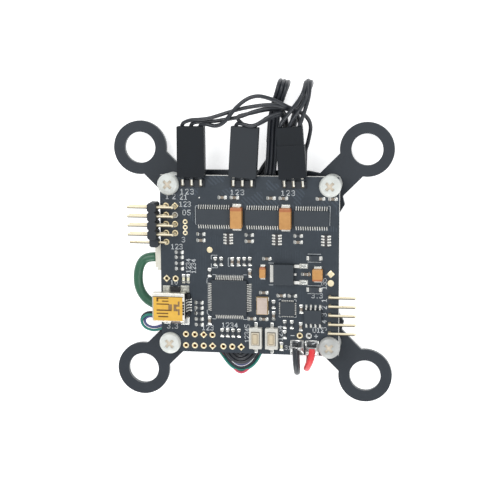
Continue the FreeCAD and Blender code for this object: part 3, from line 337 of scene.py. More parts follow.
mask_finish, tree, shader, mask_colour = grained_parts(
    "solder_mask", (40, 48, 56), (47, 55, 63), 0.36, grain=1400.0, depth=1e-6)
axes = object_axes(tree)
upper_band = maths(tree, "GREATER_THAN", axes["Y"], 16.8 * MM)
slanted = maths(tree, "MULTIPLY", upper_band,
                use_group(tree, trace_runs, Pitch=1.3 * MM, Slant=1.0, Share=0.56)["Mask"])
driver_band = maths(tree, "MULTIPLY", maths(tree, "SUBTRACT", 1.0, upper_band),
                    maths(tree, "GREATER_THAN", axes["Y"], 10.0 * MM))
upright = maths(tree, "MULTIPLY", maths(tree, "MAXIMUM", driver_band, 0.25),
                use_group(tree, trace_runs, Pitch=0.7 * MM, Slant=0.0, Share=0.56)["Mask"])
runs = maths(tree, "MAXIMUM", slanted, upright)
runs_colour = mixed(tree, maths(tree, "MULTIPLY", runs, 0.55), mask_colour, (66, 76, 87))
# The cut edge's colour is the laminate's pale tone pushed near white: partly a painted highlight.
laminate = mixed(tree, noise(tree, 5000.0, 2.0), (226, 224, 216), (246, 245, 240))
edge = use_group(tree, cut_edge, Bottom=UNDER + 0.03 * MM, Top=TOP - 0.03 * MM)["Mask"]
tree.links.new(mixed(tree, edge, runs_colour, laminate), shader.inputs["Base Color"])
raise_surface(tree, shader, runs, 12e-6)
dress("pcb", mask_finish)

# ---------------------------------------------------------------- plated pads
# Every pin hole is a copper barrel with a flange on both faces, flashed with
# gold; first pins are square ones set on a corner.  Bare lands are gold too.
gold_flash = grained("gold_flash", (240, 220, 172), (252, 240, 208), 0.3, 0.5, grain=2500.0, depth=2e-6)
# Painted shade: the barrels are a darker, deeper copy of the pads' gold.
barrel_gold_shaded = grained("barrel_gold_shaded", (168, 122, 44), (200, 152, 68), 0.36, 0.85, grain=2500.0)
tinned_land = grained("tinned_land", (190, 190, 186), (226, 226, 222), 0.3, 0.7, grain=1800.0, depth=6e-6)
PIN_PITCH = 2.54
PAD_RIM, HOLE_WALL, PAD_LIFT = 0.87, 0.39, 0.035
GOLD, TIN, BARREL, SHADE = range(4)            # the pads' materials


def spun(shape, profile, x, y, index=0, steps=24):
    """Turn a closed profile of (radius, height) in mm round an upright axis."""
    rim = [shape.verts.new((radius * MM, 0, height * MM)) for radius, height in profile]
    ring = [shape.edges.new((a, b)) for a, b in zip(rim, rim[1:] + rim[:1])]
    before = len(shape.faces)
    bmesh.ops.spin(shape, geom=rim + ring, angle=2 * math.pi, steps=steps,
                   axis=(0, 0, 1), cent=(0, 0, 0), use_merge=True)
    shape.faces.ensure_lookup_table()
    turned = {vert for face in shape.faces[before:] for vert in face.verts} | set(rim)
    bmesh.ops.translate(shape, verts=[v for v in turned if v.is_valid], vec=(x * MM, y * MM, 0))
    for face in shape.faces[before:]:
        face.material_index = index
        face.smooth = True
    return shape.faces[before:]


def block(shape, low, high, index=0, round_off=0.0, segments=1):
    """A box between two corners in mm, its edges rounded off where asked."""
    made = bmesh.ops.create_cube(shape, size=1.0)["verts"]
    size = [(b - a) * MM for a, b in zip(low, high)]
    middle = [(a + b) / 2 * MM for a, b in zip(low, high)]
    bmesh.ops.scale(shape, verts=made, vec=size)
    bmesh.ops.translate(shape, verts=made, vec=middle)
    faces = {face for vert in made for face in vert.link_faces}
    for face in faces:
        face.material_index = index
    if round_off:
        edges = {edge for face in faces for edge in face.edges}
        done = bmesh.ops.bevel(shape, geom=list(edges), offset=round_off * MM, affect="EDGES",
                               segments=segments, profile=0.5, material=-1, clamp_overlap=True)
        faces = set(done["faces"]) | {face for face in faces if face.is_valid}
    return list(faces)


def finish_piece(name, shape, materials, replaces="", body="board", merge=False):
    """Close a bmesh, show it, tie it to its body, and hide the CAD nodes it replaces."""
    if merge:
        bmesh.ops.remove_doubles(shape, verts=shape.verts, dist=1e-7)
    bmesh.ops.recalc_face_normals(shape, faces=shape.faces)
    piece = mesh_piece(name, shape, materials)
    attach(piece, body)
    if replaces:
        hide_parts(*replaces.split())
    return piece


def ring_pad(shape, x, y):
    """A flanged barrel through the board, or with square flanges on a first pin."""
    index = TIN if (x, y) in SILVER else GOLD
    skin = HOLE_WALL + 0.085
    spun(shape, [(HOLE_WALL, UNDERSIDE - PAD_LIFT), (HOLE_WALL, DECK + PAD_LIFT), (skin, DECK + PAD_LIFT),
                 (skin, UNDERSIDE - PAD_LIFT)], x, y, BARREL if index == GOLD else index)
    inner, outer = HOLE_WALL + 0.03, PAD_RIM - 0.05
    for level, lift in ((DECK, PAD_LIFT), (UNDERSIDE, -PAD_LIFT)):
        flange = spun(shape, [(inner, level), (outer, level), (PAD_RIM, level + 0.4 * lift),
                              (outer, level + lift), (inner, level + lift)], x, y, index)
        if (x, y) not in FIRST:
            continue
        middle = Vector((x, y)) * MM
        for vert in {vert for face in flange for vert in face.verts}:
            away = vert.co.xy - middle
            if away.length > (PAD_RIM - 0.1) * MM:            # pulled out to a square on its corner
                vert.co.xy = middle + away * ((PAD_RIM + 0.2) * MM / (abs(away.x) + abs(away.y)))


def pin_row(x, y, count, down=False):
    """The centres of a header's holes in mm, rightwards or down from the first."""
    return [(x, round(y - PIN_PITCH * step, 2)) if down else (round(x + PIN_PITCH * step, 2), y)
            for step in range(count)]


pads = bmesh.new()
FIRST = {(-13.02, -20.0), (-10.48, -23.2), (-2.32, -23.2), (-23.4, -4.15), (-20.81, 16.4)}  # square
SILVER = {(-20.81, 13.86), (16.74, -19.45)}    # tinned, where the rest are gilt
free_holes = (pin_row(-18.1, -23.2, 4) + pin_row(-7.4, -23.2, 3) + pin_row(-18.1, -20.0, 4)
              + pin_row(14.2, -19.45, 2))
dark_holes = pin_row(-23.4, -4.15, 2)
receiver_holes = pin_row(-23.35, 16.4, 5, down=True) + pin_row(-20.81, 16.4, 4, down=True)
servo_holes = pin_row(22.5, -8.2, 5, down=True)
motor_rows = [pin_row(x, 22.5, 3) for x in (-18.29, -4.14, 10.01)]
for spot in free_holes + dark_holes + receiver_holes:    # mask covers the lands of the other rows
    ring_pad(pads, *spot)
for spot in dark_holes:
    spun(pads, [(0, DECK - 0.5), (HOLE_WALL, DECK - 0.5), (HOLE_WALL, DECK - 0.22), (0, DECK - 0.22)],
         *spot, SHADE)
hole_shade = grained("hole_shade", (44, 42, 26), (58, 55, 36), 0.8)
finish_piece("hole_pads", pads, [gold_flash, tinned_land, barrel_gold_shaded, hole_shade],
             merge=True)

# The screws' moulded crosses are shallow at the rim: a floor and a low web.
crosses = bmesh.new()
crown, FLOOR_RIM, FLOOR_DEPTH = screw_top / MM, 1.45, 0.8
for x in (-22.5, 22.5):
    for y in (-22.5, 22.5):
        spun(crosses, [(0, crown - FLOOR_DEPTH), (FLOOR_RIM, crown - FLOOR_DEPTH), (FLOOR_RIM, crown - 0.24),
                       (0, crown - 0.28)], x, y, 1)
        spun(crosses, [(FLOOR_RIM, crown - FLOOR_DEPTH), (FLOOR_RIM, crown - 0.16), (1.56, crown - 0.085),
                       (1.86, crown - 0.105), (1.8, crown - FLOOR_DEPTH)], x, y)
recess_cream = grained("recess_cream", (196, 184, 166), (212, 200, 182), 0.5)
finish_piece("screw_crosses", crosses, [nylon, recess_cream])

# Bare lands: two round ones, a square one, three small rings and a test point.
lands = bmesh.new()


def land(x, y, profile, index=GOLD, steps=24):
    """A land turned from (radius, height over the board) in mm."""
    spun(lands, [(radius, DECK + height) for radius, height in profile], x, y, index, steps)


for x, y, rim in ((22.75, -4.4, 0.92), (-11.07, 4.24, 0.84)):
    land(x, y, [(0, 0), (rim - 0.06, 0), (rim, 0.02), (rim - 0.1, 0.045), (rim * 0.5, 0.06), (0, 0.065)])
land(22.75, -1.85, [(0, 0), (1.12, 0), (1.02, 0.05), (0.56, 0.065), (0, 0.07)], steps=4)
for y in (12.0, 10.45, 8.9):
    land(-17.94, y, [(0.33, 0), (0.66, 0), (0.7, 0.02), (0.66, 0.035), (0.33, 0.035)])
land(-13.91, 18.78, [(0, 0), (0.24, 0), (0.2, 0.03), (0, 0.035)], TIN, 12)
finish_piece("bare_lands", lands, [gold_flash, tinned_land], merge=True)

# ---------------------------------------------------------------- legend
# White epoxy ink, screened 0.02 mm thick on the mask: outlines of the parts,
# plain pin numbers and the two signs of the supply.
ink_finish = grained("legend_ink", (192, 197, 200), (220, 223, 224), 0.6, grain=4000.0)
INK, FINE_INK, INK_FILM, INK_LEVEL = 0.17, 0.11, 0.02, 0.012
legend = bmesh.new()


def ink_line(points, width=INK):
    """Screened strokes along points in mm."""
    for (x0, y0), (x1, y1) in zip(points, points[1:]):
        length, turn = math.hypot(x1 - x0, y1 - y0), math.atan2(y1 - y0, x1 - x0)
        made = bmesh.ops.create_cube(legend, size=1.0)["verts"]
        bmesh.ops.scale(legend, verts=made, vec=((length + width) * MM, width * MM, INK_FILM * MM))
        bmesh.ops.rotate(legend, verts=made, cent=(0, 0, 0), matrix=Matrix.Rotation(turn, 3, "Z"))
        middle = ((x0 + x1) / 2 * MM, (y0 + y1) / 2 * MM, TOP + INK_LEVEL * MM)
        bmesh.ops.translate(legend, verts=made, vec=middle)


SIGNS = {
    "0": [[(0.1, 0), (0.5, 0), (0.6, 0.2), (0.6, 0.8), (0.5, 1), (0.1, 1), (0, 0.8), (0, 0.2), (0.1, 0)]],
    "1": [[(0.1, 0.8), (0.3, 1), (0.3, 0)], [(0.1, 0), (0.5, 0)]],
    "2": [[(0, 0.85), (0.15, 1), (0.5, 1), (0.6, 0.8), (0.55, 0.6), (0, 0), (0.6, 0)]],
    "3": [[(0, 0.9), (0.15, 1), (0.5, 1), (0.6, 0.75), (0.45, 0.52), (0.25, 0.52)],
          [(0.45, 0.52), (0.6, 0.3), (0.5, 0), (0.1, 0), (0, 0.12)]],
    "4": [[(0.45, 0), (0.45, 1), (0, 0.32), (0.6, 0.32)]],
    "5": [[(0.58, 1), (0.05, 1), (0, 0.55), (0.4, 0.6), (0.6, 0.42), (0.55, 0.08), (0.4, 0), (0.1, 0),
           (0, 0.1)]],
    "+": [[(0, 0.5), (0.7, 0.5)], [(0.35, 0.15), (0.35, 0.85)]],
    "-": [[(0, 0.5), (0.7, 0.5)]],
    ".": [[(0.28, 0.02), (0.34, 0.02)]],
}


def ink_signs(signs, x, y, pitch=1.2, tall=1.35, upright=True):
    """Screen figures centred on x, y; a turned row reads upwards."""
    start = -(len(signs) - 1) * pitch / 2
    for number, sign in enumerate(signs):
        for stroke in SIGNS.get(sign, []):
            points = []
            for u, v in stroke:
                along, rise = start + number * pitch + (u - 0.3) * tall, (v - 0.5) * tall
                points.append((x + along, y + rise) if upright else (x - rise, y + along))
            ink_line(points)


for signs, x, y, *sizes in (
        ("123", -17.3, 20.45, 1.45), ("123", -3.2, 20.45, 1.45), ("123", 10.9, 20.45, 1.45),
        ("12", -22.0, 19.05, 1.9), ("21", -18.3, 18.95), ("123", -17.9, 16.95), ("05", -17.5, 14.6, 1.3),
        ("3", -18.45, 6.97), ("123", -20.4, 4.95), ("10", -21.3, -5.2, 1.2, 1.1),
        ("3.3", -21.9, -17.75, 1.1), ("123", -11.8, -17.95), ("1234", -5.55, -17.05),
        ("3.3", 19.0, -7.95, 1.1), ("012", 19.4, -17.7, 1.1), ("+", 18.7, -19.5, 1.2, 1.3),
        ("-", 12.1, -19.5, 1.2, 1.3), ("31", 10.9, -23.0, 1.0, 1.1)):
    ink_signs(signs, x, y, *sizes)
for signs, x, y, pitch, tall in (
        ("1234", -17.2, -0.4, 1.05, 1.2), ("1234", -15.7, -0.5, 1.05, 1.2),
        ("12345", -0.6, -19.3, 1.05, 1.35), ("1234", 8.65, -18.9, 1.1, 1.35),
        ("135", 20.9, -4.6, 1.1, 1.35), ("54321", 20.95, -13.3, 2.0, 1.35)):
    ink_signs(signs, x, y, pitch, tall, upright=False)
for outline in (
        [(-14.4, 16.5), (-15.0, 16.5), (-15.0, 11.4), (-14.6, 11.4)],
        [(22.1, 17.0), (22.5, 17.0), (22.4, 11.6)],
        [(-11.1, -3.4), (-11.9, -3.9), (-11.95, -5.2)], [(-10.3, -2.75), (-9.4, -2.75)],
        [(-1.6, -2.6), (-0.7, -2.6)], [(-10.4, -15.35), (-9.5, -15.35)], [(-1.6, -15.3), (-0.7, -15.3)],
        [(-11.95, -12.9), (-11.9, -13.9), (-11.2, -14.6)], [(-9.0, 2.75), (-10.65, 2.75), (-10.65, 1.6)],
        [(-10.65, 0.3), (-10.65, -0.8), (-8.9, -0.8), (-8.9, 0.0)],
        [(-5.5, 2.1), (-5.85, 2.1), (-5.85, -0.3), (-5.5, -0.3)], [(16.4, 3.65), (20.0, 3.65)],
        [(16.4, 1.4), (20.0, 1.4)], [(16.4, -5.2), (20.0, -5.2)], [(16.4, -7.45), (20.0, -7.45)],
        [(5.5, 0.9), (6.9, 0.9), (6.9, 0.5)], [(5.6, -5.25), (6.7, -5.25)],
        [(8.4, -9.6), (8.4, -9.3), (8.9, -9.3)], [(12.7, -9.3), (13.2, -9.3), (13.2, -9.8)],
        [(8.4, -13.9), (8.4, -14.3), (8.9, -14.3)], [(12.7, -14.3), (13.2, -14.3), (13.2, -13.9)],
        [(-15.3, -12.4), (-15.3, -13.9)], [(21.9, -2.1), (21.4, -2.1)]):
    ink_line(outline, FINE_INK)
finish_piece("legend_print", legend, [ink_finish])

# ---------------------------------------------------------------- controller chip
# A flat square package of black epoxy with 64 gull-wing leads, each set with
# solder on its own land.  A shallow dimple marks the first pin.
epoxy = grained("moulded_epoxy", (38, 45, 52), (46, 53, 60), 0.55, grain=2600.0, depth=5e-6)
bright_lead = grained("tinned_lead", (214, 213, 206), (246, 244, 238), 0.34, 0.4, grain=2200.0, depth=3e-6)
bright_solder = grained("bright_solder", (184, 184, 178), (240, 240, 236), 0.24, 0.9,
                        grain=1500.0, depth=14e-6, sheen_range=0.16)
dress("mcu", epoxy, edge=0.12)
dress("mcu_leads motor_driver_leads serial_chip_leads", bright_lead)


def box_mm(name):
    """The lowest and highest corner of a CAD node, in mm."""
    return [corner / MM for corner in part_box(name)]


def on_board(shape, x0, x1, y0, y1, height, *rounding, index=0):
    """A block standing on the board, sized in mm."""
    return block(shape, (x0, y0, DECK), (x1, y1, DECK + height), index, *rounding)


def blocks_of(name):
    """Lowest and highest corner, in mm, of every separate solid of a CAD node."""
    shape = bmesh.new()
    shape.from_mesh(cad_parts[name].data)
    bmesh.ops.remove_doubles(shape, verts=shape.verts, dist=1e-6)
    found, waiting = [], set(shape.verts)
    while waiting:
        group = [waiting.pop()]
        for reached in group:                                 # the list grows as the solid is walked
            for edge in reached.link_edges:
                group += waiting.intersection(edge.verts)
                waiting.difference_update(edge.verts)
        places = [vert.co / MM for vert in group]
        found.append(tuple(Vector(pick(place[axis] for place in places) for axis in range(3))
                           for pick in (min, max)))
    shape.free()
    return sorted(found, key=lambda pair: tuple(round(part, 2) for part in pair[0]))


FOOT_SHARE = 0.55                             # of a lead's length that lies on its land


def lead_lands(name, nodes, chip, grow=0.28, wide=0.0):
    """Solder under the foot of each lead, spreading a little past its tip."""
    low, high = box_mm(chip)
    middle = (low + high) / 2
    shape = bmesh.new()
    for a, b in blocks_of(nodes):
        centre = (a + b) / 2
        if not (low.x - 2 < centre.x < high.x + 2 and low.y - 2 < centre.y < high.y + 2):
            continue
        along = 0 if b.x - a.x > b.y - a.y else 1
        foot = FOOT_SHARE * (b[along] - a[along])
        a[1 - along] -= wide
        b[1 - along] += wide
        if centre[along] > middle[along]:
            a[along], b[along] = b[along] - foot, b[along] + grow
        else:
            a[along], b[along] = a[along] - grow, a[along] + foot
        on_board(shape, a.x, b.x, a.y, b.y, 0.09, 0.04)
    finish_piece(name, shape, [bright_solder])


marks = bmesh.new()


def first_pin_mark(chip, right, up, radius, corner=0):
    """A dimple in a package's top, right and up from its lower left corner, or
    from its upper left one where corner is 1."""
    ends = box_mm(chip)
    level = ends[1].z
    spun(marks, [(0, level - 0.001), (radius * 0.8, level - 0.001), (radius, level + 0.012),
                 (radius * 0.92, level + 0.02), (radius * 0.8, level + 0.006), (0, level + 0.006)],
         ends[0].x + right, ends[corner].y + up, 0, 20)


lead_lands("controller_solder", "mcu_leads", "mcu")
first_pin_mark("mcu", 1.2, 1.2, 0.4)

# ---------------------------------------------------------------- motor drivers
# Three long thin-shrink packages side by side, a power bridge for each motor:
# 28 leads apiece with a bare heat slug under the body.
dress("motor_driver_0 motor_driver_1 motor_driver_2", epoxy, edge=0.12)
for number in range(3):
    lead_lands(f"driver_{number}_solder", "motor_driver_leads", f"motor_driver_{number}", grow=0.2)
    first_pin_mark(f"motor_driver_{number}", 0.7, 0.8, 0.3)

# ---------------------------------------------------------------- small chips
# The serial memory in an eight-lead body, and the motion sensor, a flat square
# package without leads whose lands show as a dashed frame.
dress("serial_chip", epoxy, edge=0.12)
dress("imu_chip", epoxy, edge=0.06)
lead_lands("serial_chip_solder", "serial_chip_leads", "serial_chip", grow=0.3, wide=0.08)
first_pin_mark("serial_chip", 0.7, 0.7, 0.28)
low, high = box_mm("imu_chip")
sensor_solder = bmesh.new()
LAND_PITCH, LAND_COUNT, LAND_REACH, LAND_HALF = 0.5, 7, 0.4, 0.16
for number in range(LAND_COUNT):
    shift = (number - (LAND_COUNT - 1) / 2) * LAND_PITCH
    for axis in (0, 1):
        middle = (low[1 - axis] + high[1 - axis]) / 2 + shift
        across = [middle - LAND_HALF, middle + LAND_HALF]
        for side, outward in ((low[axis], -1), (high[axis], 1)):
            along = sorted((side - 0.02 * outward, side + LAND_REACH * outward))
            on_board(sensor_solder, *(across + along if axis else along + across), 0.16, 0.05)
finish_piece("motion_sensor_solder", sensor_solder, [bright_lead])
first_pin_mark("imu_chip", 0.5, -0.5, 0.2, corner=1)
finish_piece("first_pin_dimples", marks, [epoxy], merge=True)

# ---------------------------------------------------------------- regulator
# A power package: black body, a wide tinned tab on its left that carries the
# heat to the board, two long leads and one cut stub on its right.
dress("voltage_regulator", epoxy, edge=0.18)
dress("regulator_leads", bright_lead, edge=0.05)
regulator_solder = bmesh.new()
for a, b in blocks_of("regulator_leads"):
    if b.y - a.y > 3:                                     # the heat tab
        on_board(regulator_solder, a.x - 0.04, a.x + 0.3, a.y - 0.1, b.y + 0.1, 0.12, 0.05)
    elif b.x - a.x > 2:                                   # a long lead
        on_board(regulator_solder, b.x - 1.9, b.x + 0.45, a.y - 0.28, b.y + 0.28, 0.1, 0.05)
        block(regulator_solder, (b.x - 1.5, a.y - 0.06, DECK + 0.05), (b.x + 0.18, b.y + 0.06, DECK + 0.3),
              0, 0.12, 2)
finish_piece("regulator_solder", regulator_solder, [bright_solder])

# ---------------------------------------------------------------- crystal
# A low ceramic trough with a seam-welded metal lid of a rosy nickel colour.
# Its four corner lands are wetted with solder.
crystal_lid = grained("nickel_lid", (188, 170, 158), (206, 190, 178), 0.36, 0.25, grain=2200.0, depth=3e-6)
crystal_base = grained("crystal_trough", (148, 122, 84), (176, 152, 112), 0.5, grain=3000.0)
dress("crystal", crystal_base, edge=0.08)
low, high = box_mm("crystal")
lid = bmesh.new()
for inset, floor, rise, *rounding in ((0.2, -0.03, 0.1, 0.09, 2), (0.48, 0.07, 0.125, 0.03)):
    block(lid, (low.x + inset, low.y + inset, high.z + floor),
          (high.x - inset, high.y - inset, high.z + rise), 0, *rounding)
for x in ((low.x - 0.24, low.x), (high.x, high.x + 0.24)):
    for y in (low.y + 0.62, high.y - 0.62):
        on_board(lid, *x, y - 0.6, y + 0.6, 0.55, 0.12, 2, index=1)
finish_piece("crystal_lid", lid, [crystal_lid, bright_solder])

# ---------------------------------------------------------------- tantalum capacitors
# Moulded yellow-brown cases over folded tinned tabs.  A red-brown bar is
# printed across the positive end; lands and solder show past the tabs.
tantalum, tree, shader, amber = grained_parts("tantalum_case", (176, 126, 70), (200, 149, 88), 0.42,
                                              grain=1100.0, depth=5e-6)
axes = object_axes(tree)
printed = 0.0
cases = blocks_of("tantalum_capacitors")
for a, b in cases:
    long = b.y - a.y
    stripe = (0.2 if a.x < 15 and long < 4 else 0.17) * long
    bar = (a.y, a.y + stripe) if a.x > 15 else (b.y - stripe, b.y)
    inside = maths(tree, "MULTIPLY", band(tree, axes["X"], (a.x - 0.1) * MM, (b.x + 0.1) * MM),
                   band(tree, axes["Y"], bar[0] * MM, bar[1] * MM))
    printed = maths(tree, "MAXIMUM", printed, inside)
tree.links.new(mixed(tree, maths(tree, "MULTIPLY", printed, 0.8), amber, (164, 92, 56)),
               shader.inputs["Base Color"])
dress("tantalum_capacitors", tantalum, edge=0.3)
dress("capacitor_terminals", bright_lead, edge=0.06)
tantalum_solder = bmesh.new()
for a, b in blocks_of("capacitor_terminals"):
    upper_end = any(abs(a.y - case[1].y) < 0.11 for case in cases)
    y0, y1 = (a.y, b.y + 0.3) if upper_end else (a.y - 0.3, b.y)
    on_board(tantalum_solder, a.x - 0.12, b.x + 0.12, y0, y1, 0.14, 0.06)
finish_piece("tantalum_solder", tantalum_solder, [bright_solder])

# ---------------------------------------------------------------- diodes
# Two small black diodes with folded tinned ends.  The bar printed at one end is
# worn, and only a little paler than the body.
dress("diodes", epoxy, edge=0.15)
dress("diode_terminals", bright_lead, edge=0.05)
diode_solder, bars = bmesh.new(), bmesh.new()
for a, b in blocks_of("diode_terminals"):
    x0, x1 = (b.x - 0.1, b.x + 0.35) if a.x > 18 else (a.x - 0.35, a.x + 0.1)
    on_board(diode_solder, x0, x1, a.y + 0.02, b.y - 0.02, 0.18, 0.08, 2)
for a, b in blocks_of("diodes"):
    block(bars, (a.x + 0.35, a.y + 0.12, b.z - 0.005), (a.x + 0.62, b.y - 0.12, b.z + 0.012))
finish_piece("diode_solder", diode_solder, [bright_solder])
dark_print = grained("worn_print", (54, 58, 62), (70, 75, 79), 0.6, grain=3500.0)
finish_piece("diode_bars", bars, [dark_print])

# ---------------------------------------------------------------- chip parts
# Rows of 1.6 mm chip capacitors and resistors: a fired ceramic body, capped
# ends of nickel and tin, and a bright cone of solder up each end.
cap_ceramic = grained("capacitor_ceramic", (112, 102, 92), (142, 130, 116), 0.5, grain=3500.0)
resistor_glaze = grained("resistor_glaze", (52, 56, 60), (70, 74, 78), 0.4, grain=3500.0)
led_lens = grained("led_lens", (214, 210, 176), (232, 228, 200), 0.3, grain=1800.0)
TOE_HEIGHT, TOE_CURVE = 0.07, 1.8


def solder_toe(shape, axis, inner, outer, side_low, side_high, crown):
    """A sloping cone of solder from the board up the end of a part, between
    its end (inner) and the edge of its land (outer)."""
    corners = [[side_low] * 2 + [DECK], [side_high] * 2 + [crown]]
    corners[0][axis], corners[1][axis] = sorted((inner, outer))
    faces = block(shape, *corners, 1)
    edges = {edge for face in faces for edge in face.edges}
    uprights = [edge for edge in edges if abs(edge.verts[0].co.z - edge.verts[1].co.z) > 0.05 * MM
                and abs(edge.verts[0].co[axis] / MM - outer) < 0.01]
    done = bmesh.ops.bevel(shape, geom=uprights, offset=min(0.3, (side_high - side_low) * 0.34) * MM,
                           affect="EDGES", segments=3, profile=0.5, material=-1, clamp_overlap=True)
    faces = {face for face in set(faces) | set(done["faces"]) if face.is_valid}
    across = Vector((1 - axis, axis, 0))
    for cut in (0.3, 0.55, 0.78):
        parts = {item for face in faces for item in (face, *face.edges, *face.verts)}
        made = bmesh.ops.bisect_plane(shape, geom=list(parts), plane_no=across, dist=1e-7,
                                      plane_co=across * (inner + (outer - inner) * cut) * MM)
        faces = {item for item in made["geom"] if isinstance(item, bmesh.types.BMFace)}
    toe = DECK + TOE_HEIGHT
    for vert in {vert for face in faces for vert in face.verts}:
        if vert.co.z > (DECK + 0.01) * MM:
            share = max(0.0, 1 - abs(vert.co[axis] / MM - inner) / abs(outer - inner))
            vert.co.z = (toe + (crown - toe) * share ** TOE_CURVE) * MM
    for face in faces:
        face.material_index = 1
        face.smooth = face.normal.z > -0.5


def chip_part(shape, low, high, cap, toe=0.5, skin=0.03):
    """One two-ended chip part: body, two capped ends and two solder cones."""
    axis = 0 if high.x - low.x > high.y - low.y else 1
    across = 1 - axis
    inset = Vector((skin, skin, 0))
    inset[axis] = cap * 0.6
    block(shape, low + inset, high - inset - Vector((0, 0, skin)), 0, 0.05)
    for end, way in ((low[axis], 1), (high[axis], -1)):
        ends = [list(low), list(high)]
        ends[0][axis], ends[1][axis] = sorted((end, end + cap * way))
        for face in block(shape, *ends, 1, 0.1, 2):
            face.smooth = True
        solder_toe(shape, axis, end + 0.12 * way, end - toe * way, low[across] - 0.12, high[across] + 0.12,
                   high.z - 0.06)


for node, piece_name, centre, slot in (
        ("chip_capacitors", "capacitor_chips", cap_ceramic, "chip_ceramic"),
        ("chip_resistors", "resistor_chips", resistor_glaze, "chip_black"),
        ("status_leds", "led_chips", led_lens, "led")):
    shape = bmesh.new()
    for low, high in blocks_of(node):
        chip_part(shape, low, high, cap=0.42 if node == "status_leds" else 0.36)
    finish_piece(piece_name, shape, [centre, bright_solder], node)

# Resistor arrays: four resistors on one body, with scalloped ends in pairs.
arrays = bmesh.new()
ARRAY_WAYS = 4
for low, high in blocks_of("resistor_arrays"):
    block(arrays, (low.x + 0.12, low.y, low.z), (high.x - 0.12, high.y, high.z), 0, 0.05)
    pitch = (high.y - low.y) / ARRAY_WAYS
    for way in range(ARRAY_WAYS):
        middle = low.y + pitch * (way + 0.5)
        for end, turn in ((low.x, 1), (high.x, -1)):
            x0, x1 = sorted((end - 0.1 * turn, end + 0.42 * turn))
            cap = block(arrays, (x0, middle - 0.25, low.z), (x1, middle + 0.25, high.z + 0.02), 1, 0.08, 2)
            for face in cap:
                face.smooth = True
            solder_toe(arrays, 0, end + 0.08 * turn, end - 0.56 * turn, middle - 0.23, middle + 0.23,
                       high.z - 0.06)
array_glaze = grained("array_glaze", (46, 46, 48), (62, 60, 62), 0.45, grain=3500.0)
finish_piece("array_chips", arrays, [array_glaze, bright_lead], "resistor_arrays")

# ---------------------------------------------------------------- USB socket
# A Mini-B socket: a folded and tinned steel shell over a black insert with five
# contacts.  The amber polyimide film on top is what the placing machine picks.
tinned_steel = grained("tinned_steel", (196, 192, 180), (226, 222, 210), 0.3, 0.7, grain=900.0, depth=4e-6)
# The insert's black also serves the blocks of painted shade round the socket.
insert_and_shade_black = grained("socket_insert_and_shade", (20, 22, 26), (28, 30, 34), 0.5)
dress("usb_shell", tinned_steel, edge=0.12)
dress("usb_insert", insert_and_shade_black)
dress("usb_contacts", bright_lead)
film, tree, shader, _ = grained_parts("amber_film", (206, 158, 58), (228, 182, 76), 0.24,
                                      grain=700.0, depth=3e-6)
shader.inputs["Coat Weight"].default_value = 0.3
shell_low, shell_high = box_mm("usb_shell")
film_low, film_high = box_mm("usb_pickup_film")
cover = bmesh.new()
for y0, y1, sag in ((film_low.y, film_high.y - 0.66, 0), (film_low.y - 0.45, film_low.y + 0.1, 0.03)):
    block(cover, (film_low.x, y0, film_low.z - sag), (film_high.x - 0.25, y1, film_high.z - 0.015), 0, 0.02)
finish_piece("pickup_film", cover, [film], "usb_pickup_film")

# The shell is folded from one strip: its rolled far rim stands proud along the
# film, the rear rim has five windows, and pressed slots show through the film.
# The rims are a paler copy of the steel, a painted highlight; the slots and
# dents under the film are flat patches of painted shade.
rims = bmesh.new()
left, right, crest = shell_low.x, shell_high.x, shell_high.z
for x0, x1, y0, y1, floor, rise, *rounding in (
        (left, right - 0.1, film_high.y - 0.5, film_high.y + 0.42, -0.35, 0.05, 0.16, 3),
        (right - 0.62, right, film_low.y - 0.1, film_high.y + 0.1, -0.2, 0.03, 0.06, 2),
        (left, right - 0.1, shell_low.y, film_low.y - 0.5, -0.25, 0.03, 0.08, 2)):
    block(rims, (x0, y0, crest + floor), (x1, y1, crest + rise), 0, *rounding)
# Painted highlight: the rims are a paler, less metallic copy of the shell's tinned steel.
rim_highlight_steel = grained("rim_highlight_steel", (224, 220, 208), (248, 244, 234), 0.3, 0.35, grain=900.0, depth=4e-6)
finish_piece("shell_rims", rims, [rim_highlight_steel])
slots, hollows, shadows = bmesh.new(), bmesh.new(), bmesh.new()
seam_level = film_high.z - 0.02


def seen_through(shape, places):
    """Flat patches of painted shade where the shell's pressed slots and dents show
    through the film, as x0, x1, y0, y1: x from the film's left edge and y down
    from its far edge, in mm."""
    for x0, x1, y0, y1 in places:
        block(shape, (film_low.x + x0, film_high.y - y1, seam_level),
              (film_low.x + x1, film_high.y - y0, seam_level + 0.018))


seen_through(slots, ((0.9, 4.32, 0.8, 1.14), (2.5, 4.32, 1.66, 1.98), (0.9, 1.42, 0.98, 1.98),
                     (0.9, 4.4, 2.5, 2.84), (0.9, 5.2, 4.2, 4.6), (0.9, 4.2, 5.14, 5.5),
                     (1.35, 4.2, 6.0, 6.42)))
seen_through(hollows, ((4.25, 5.3, 2.67, 4.22), (5.75, 6.55, 2.67, 4.6), (6.5, 7.45, 2.75, 3.3),
                       (6.5, 7.45, 4.0, 4.6), (6.95, 7.47, 1.8, 2.75), (6.95, 7.47, 4.6, 5.7)))
# Painted shade: the brown patches stand for the dark openings and dents under the film.
slot_shadow = grained("slot_shade_under_film", (88, 60, 14), (120, 84, 28), 0.3, grain=700.0)
hollow_shadow = grained("hollow_shade_under_film", (120, 94, 62), (146, 118, 80), 0.3, grain=700.0)
finish_piece("shell_slot_shades", slots, [slot_shadow])
finish_piece("shell_hollow_shades", hollows, [hollow_shadow])
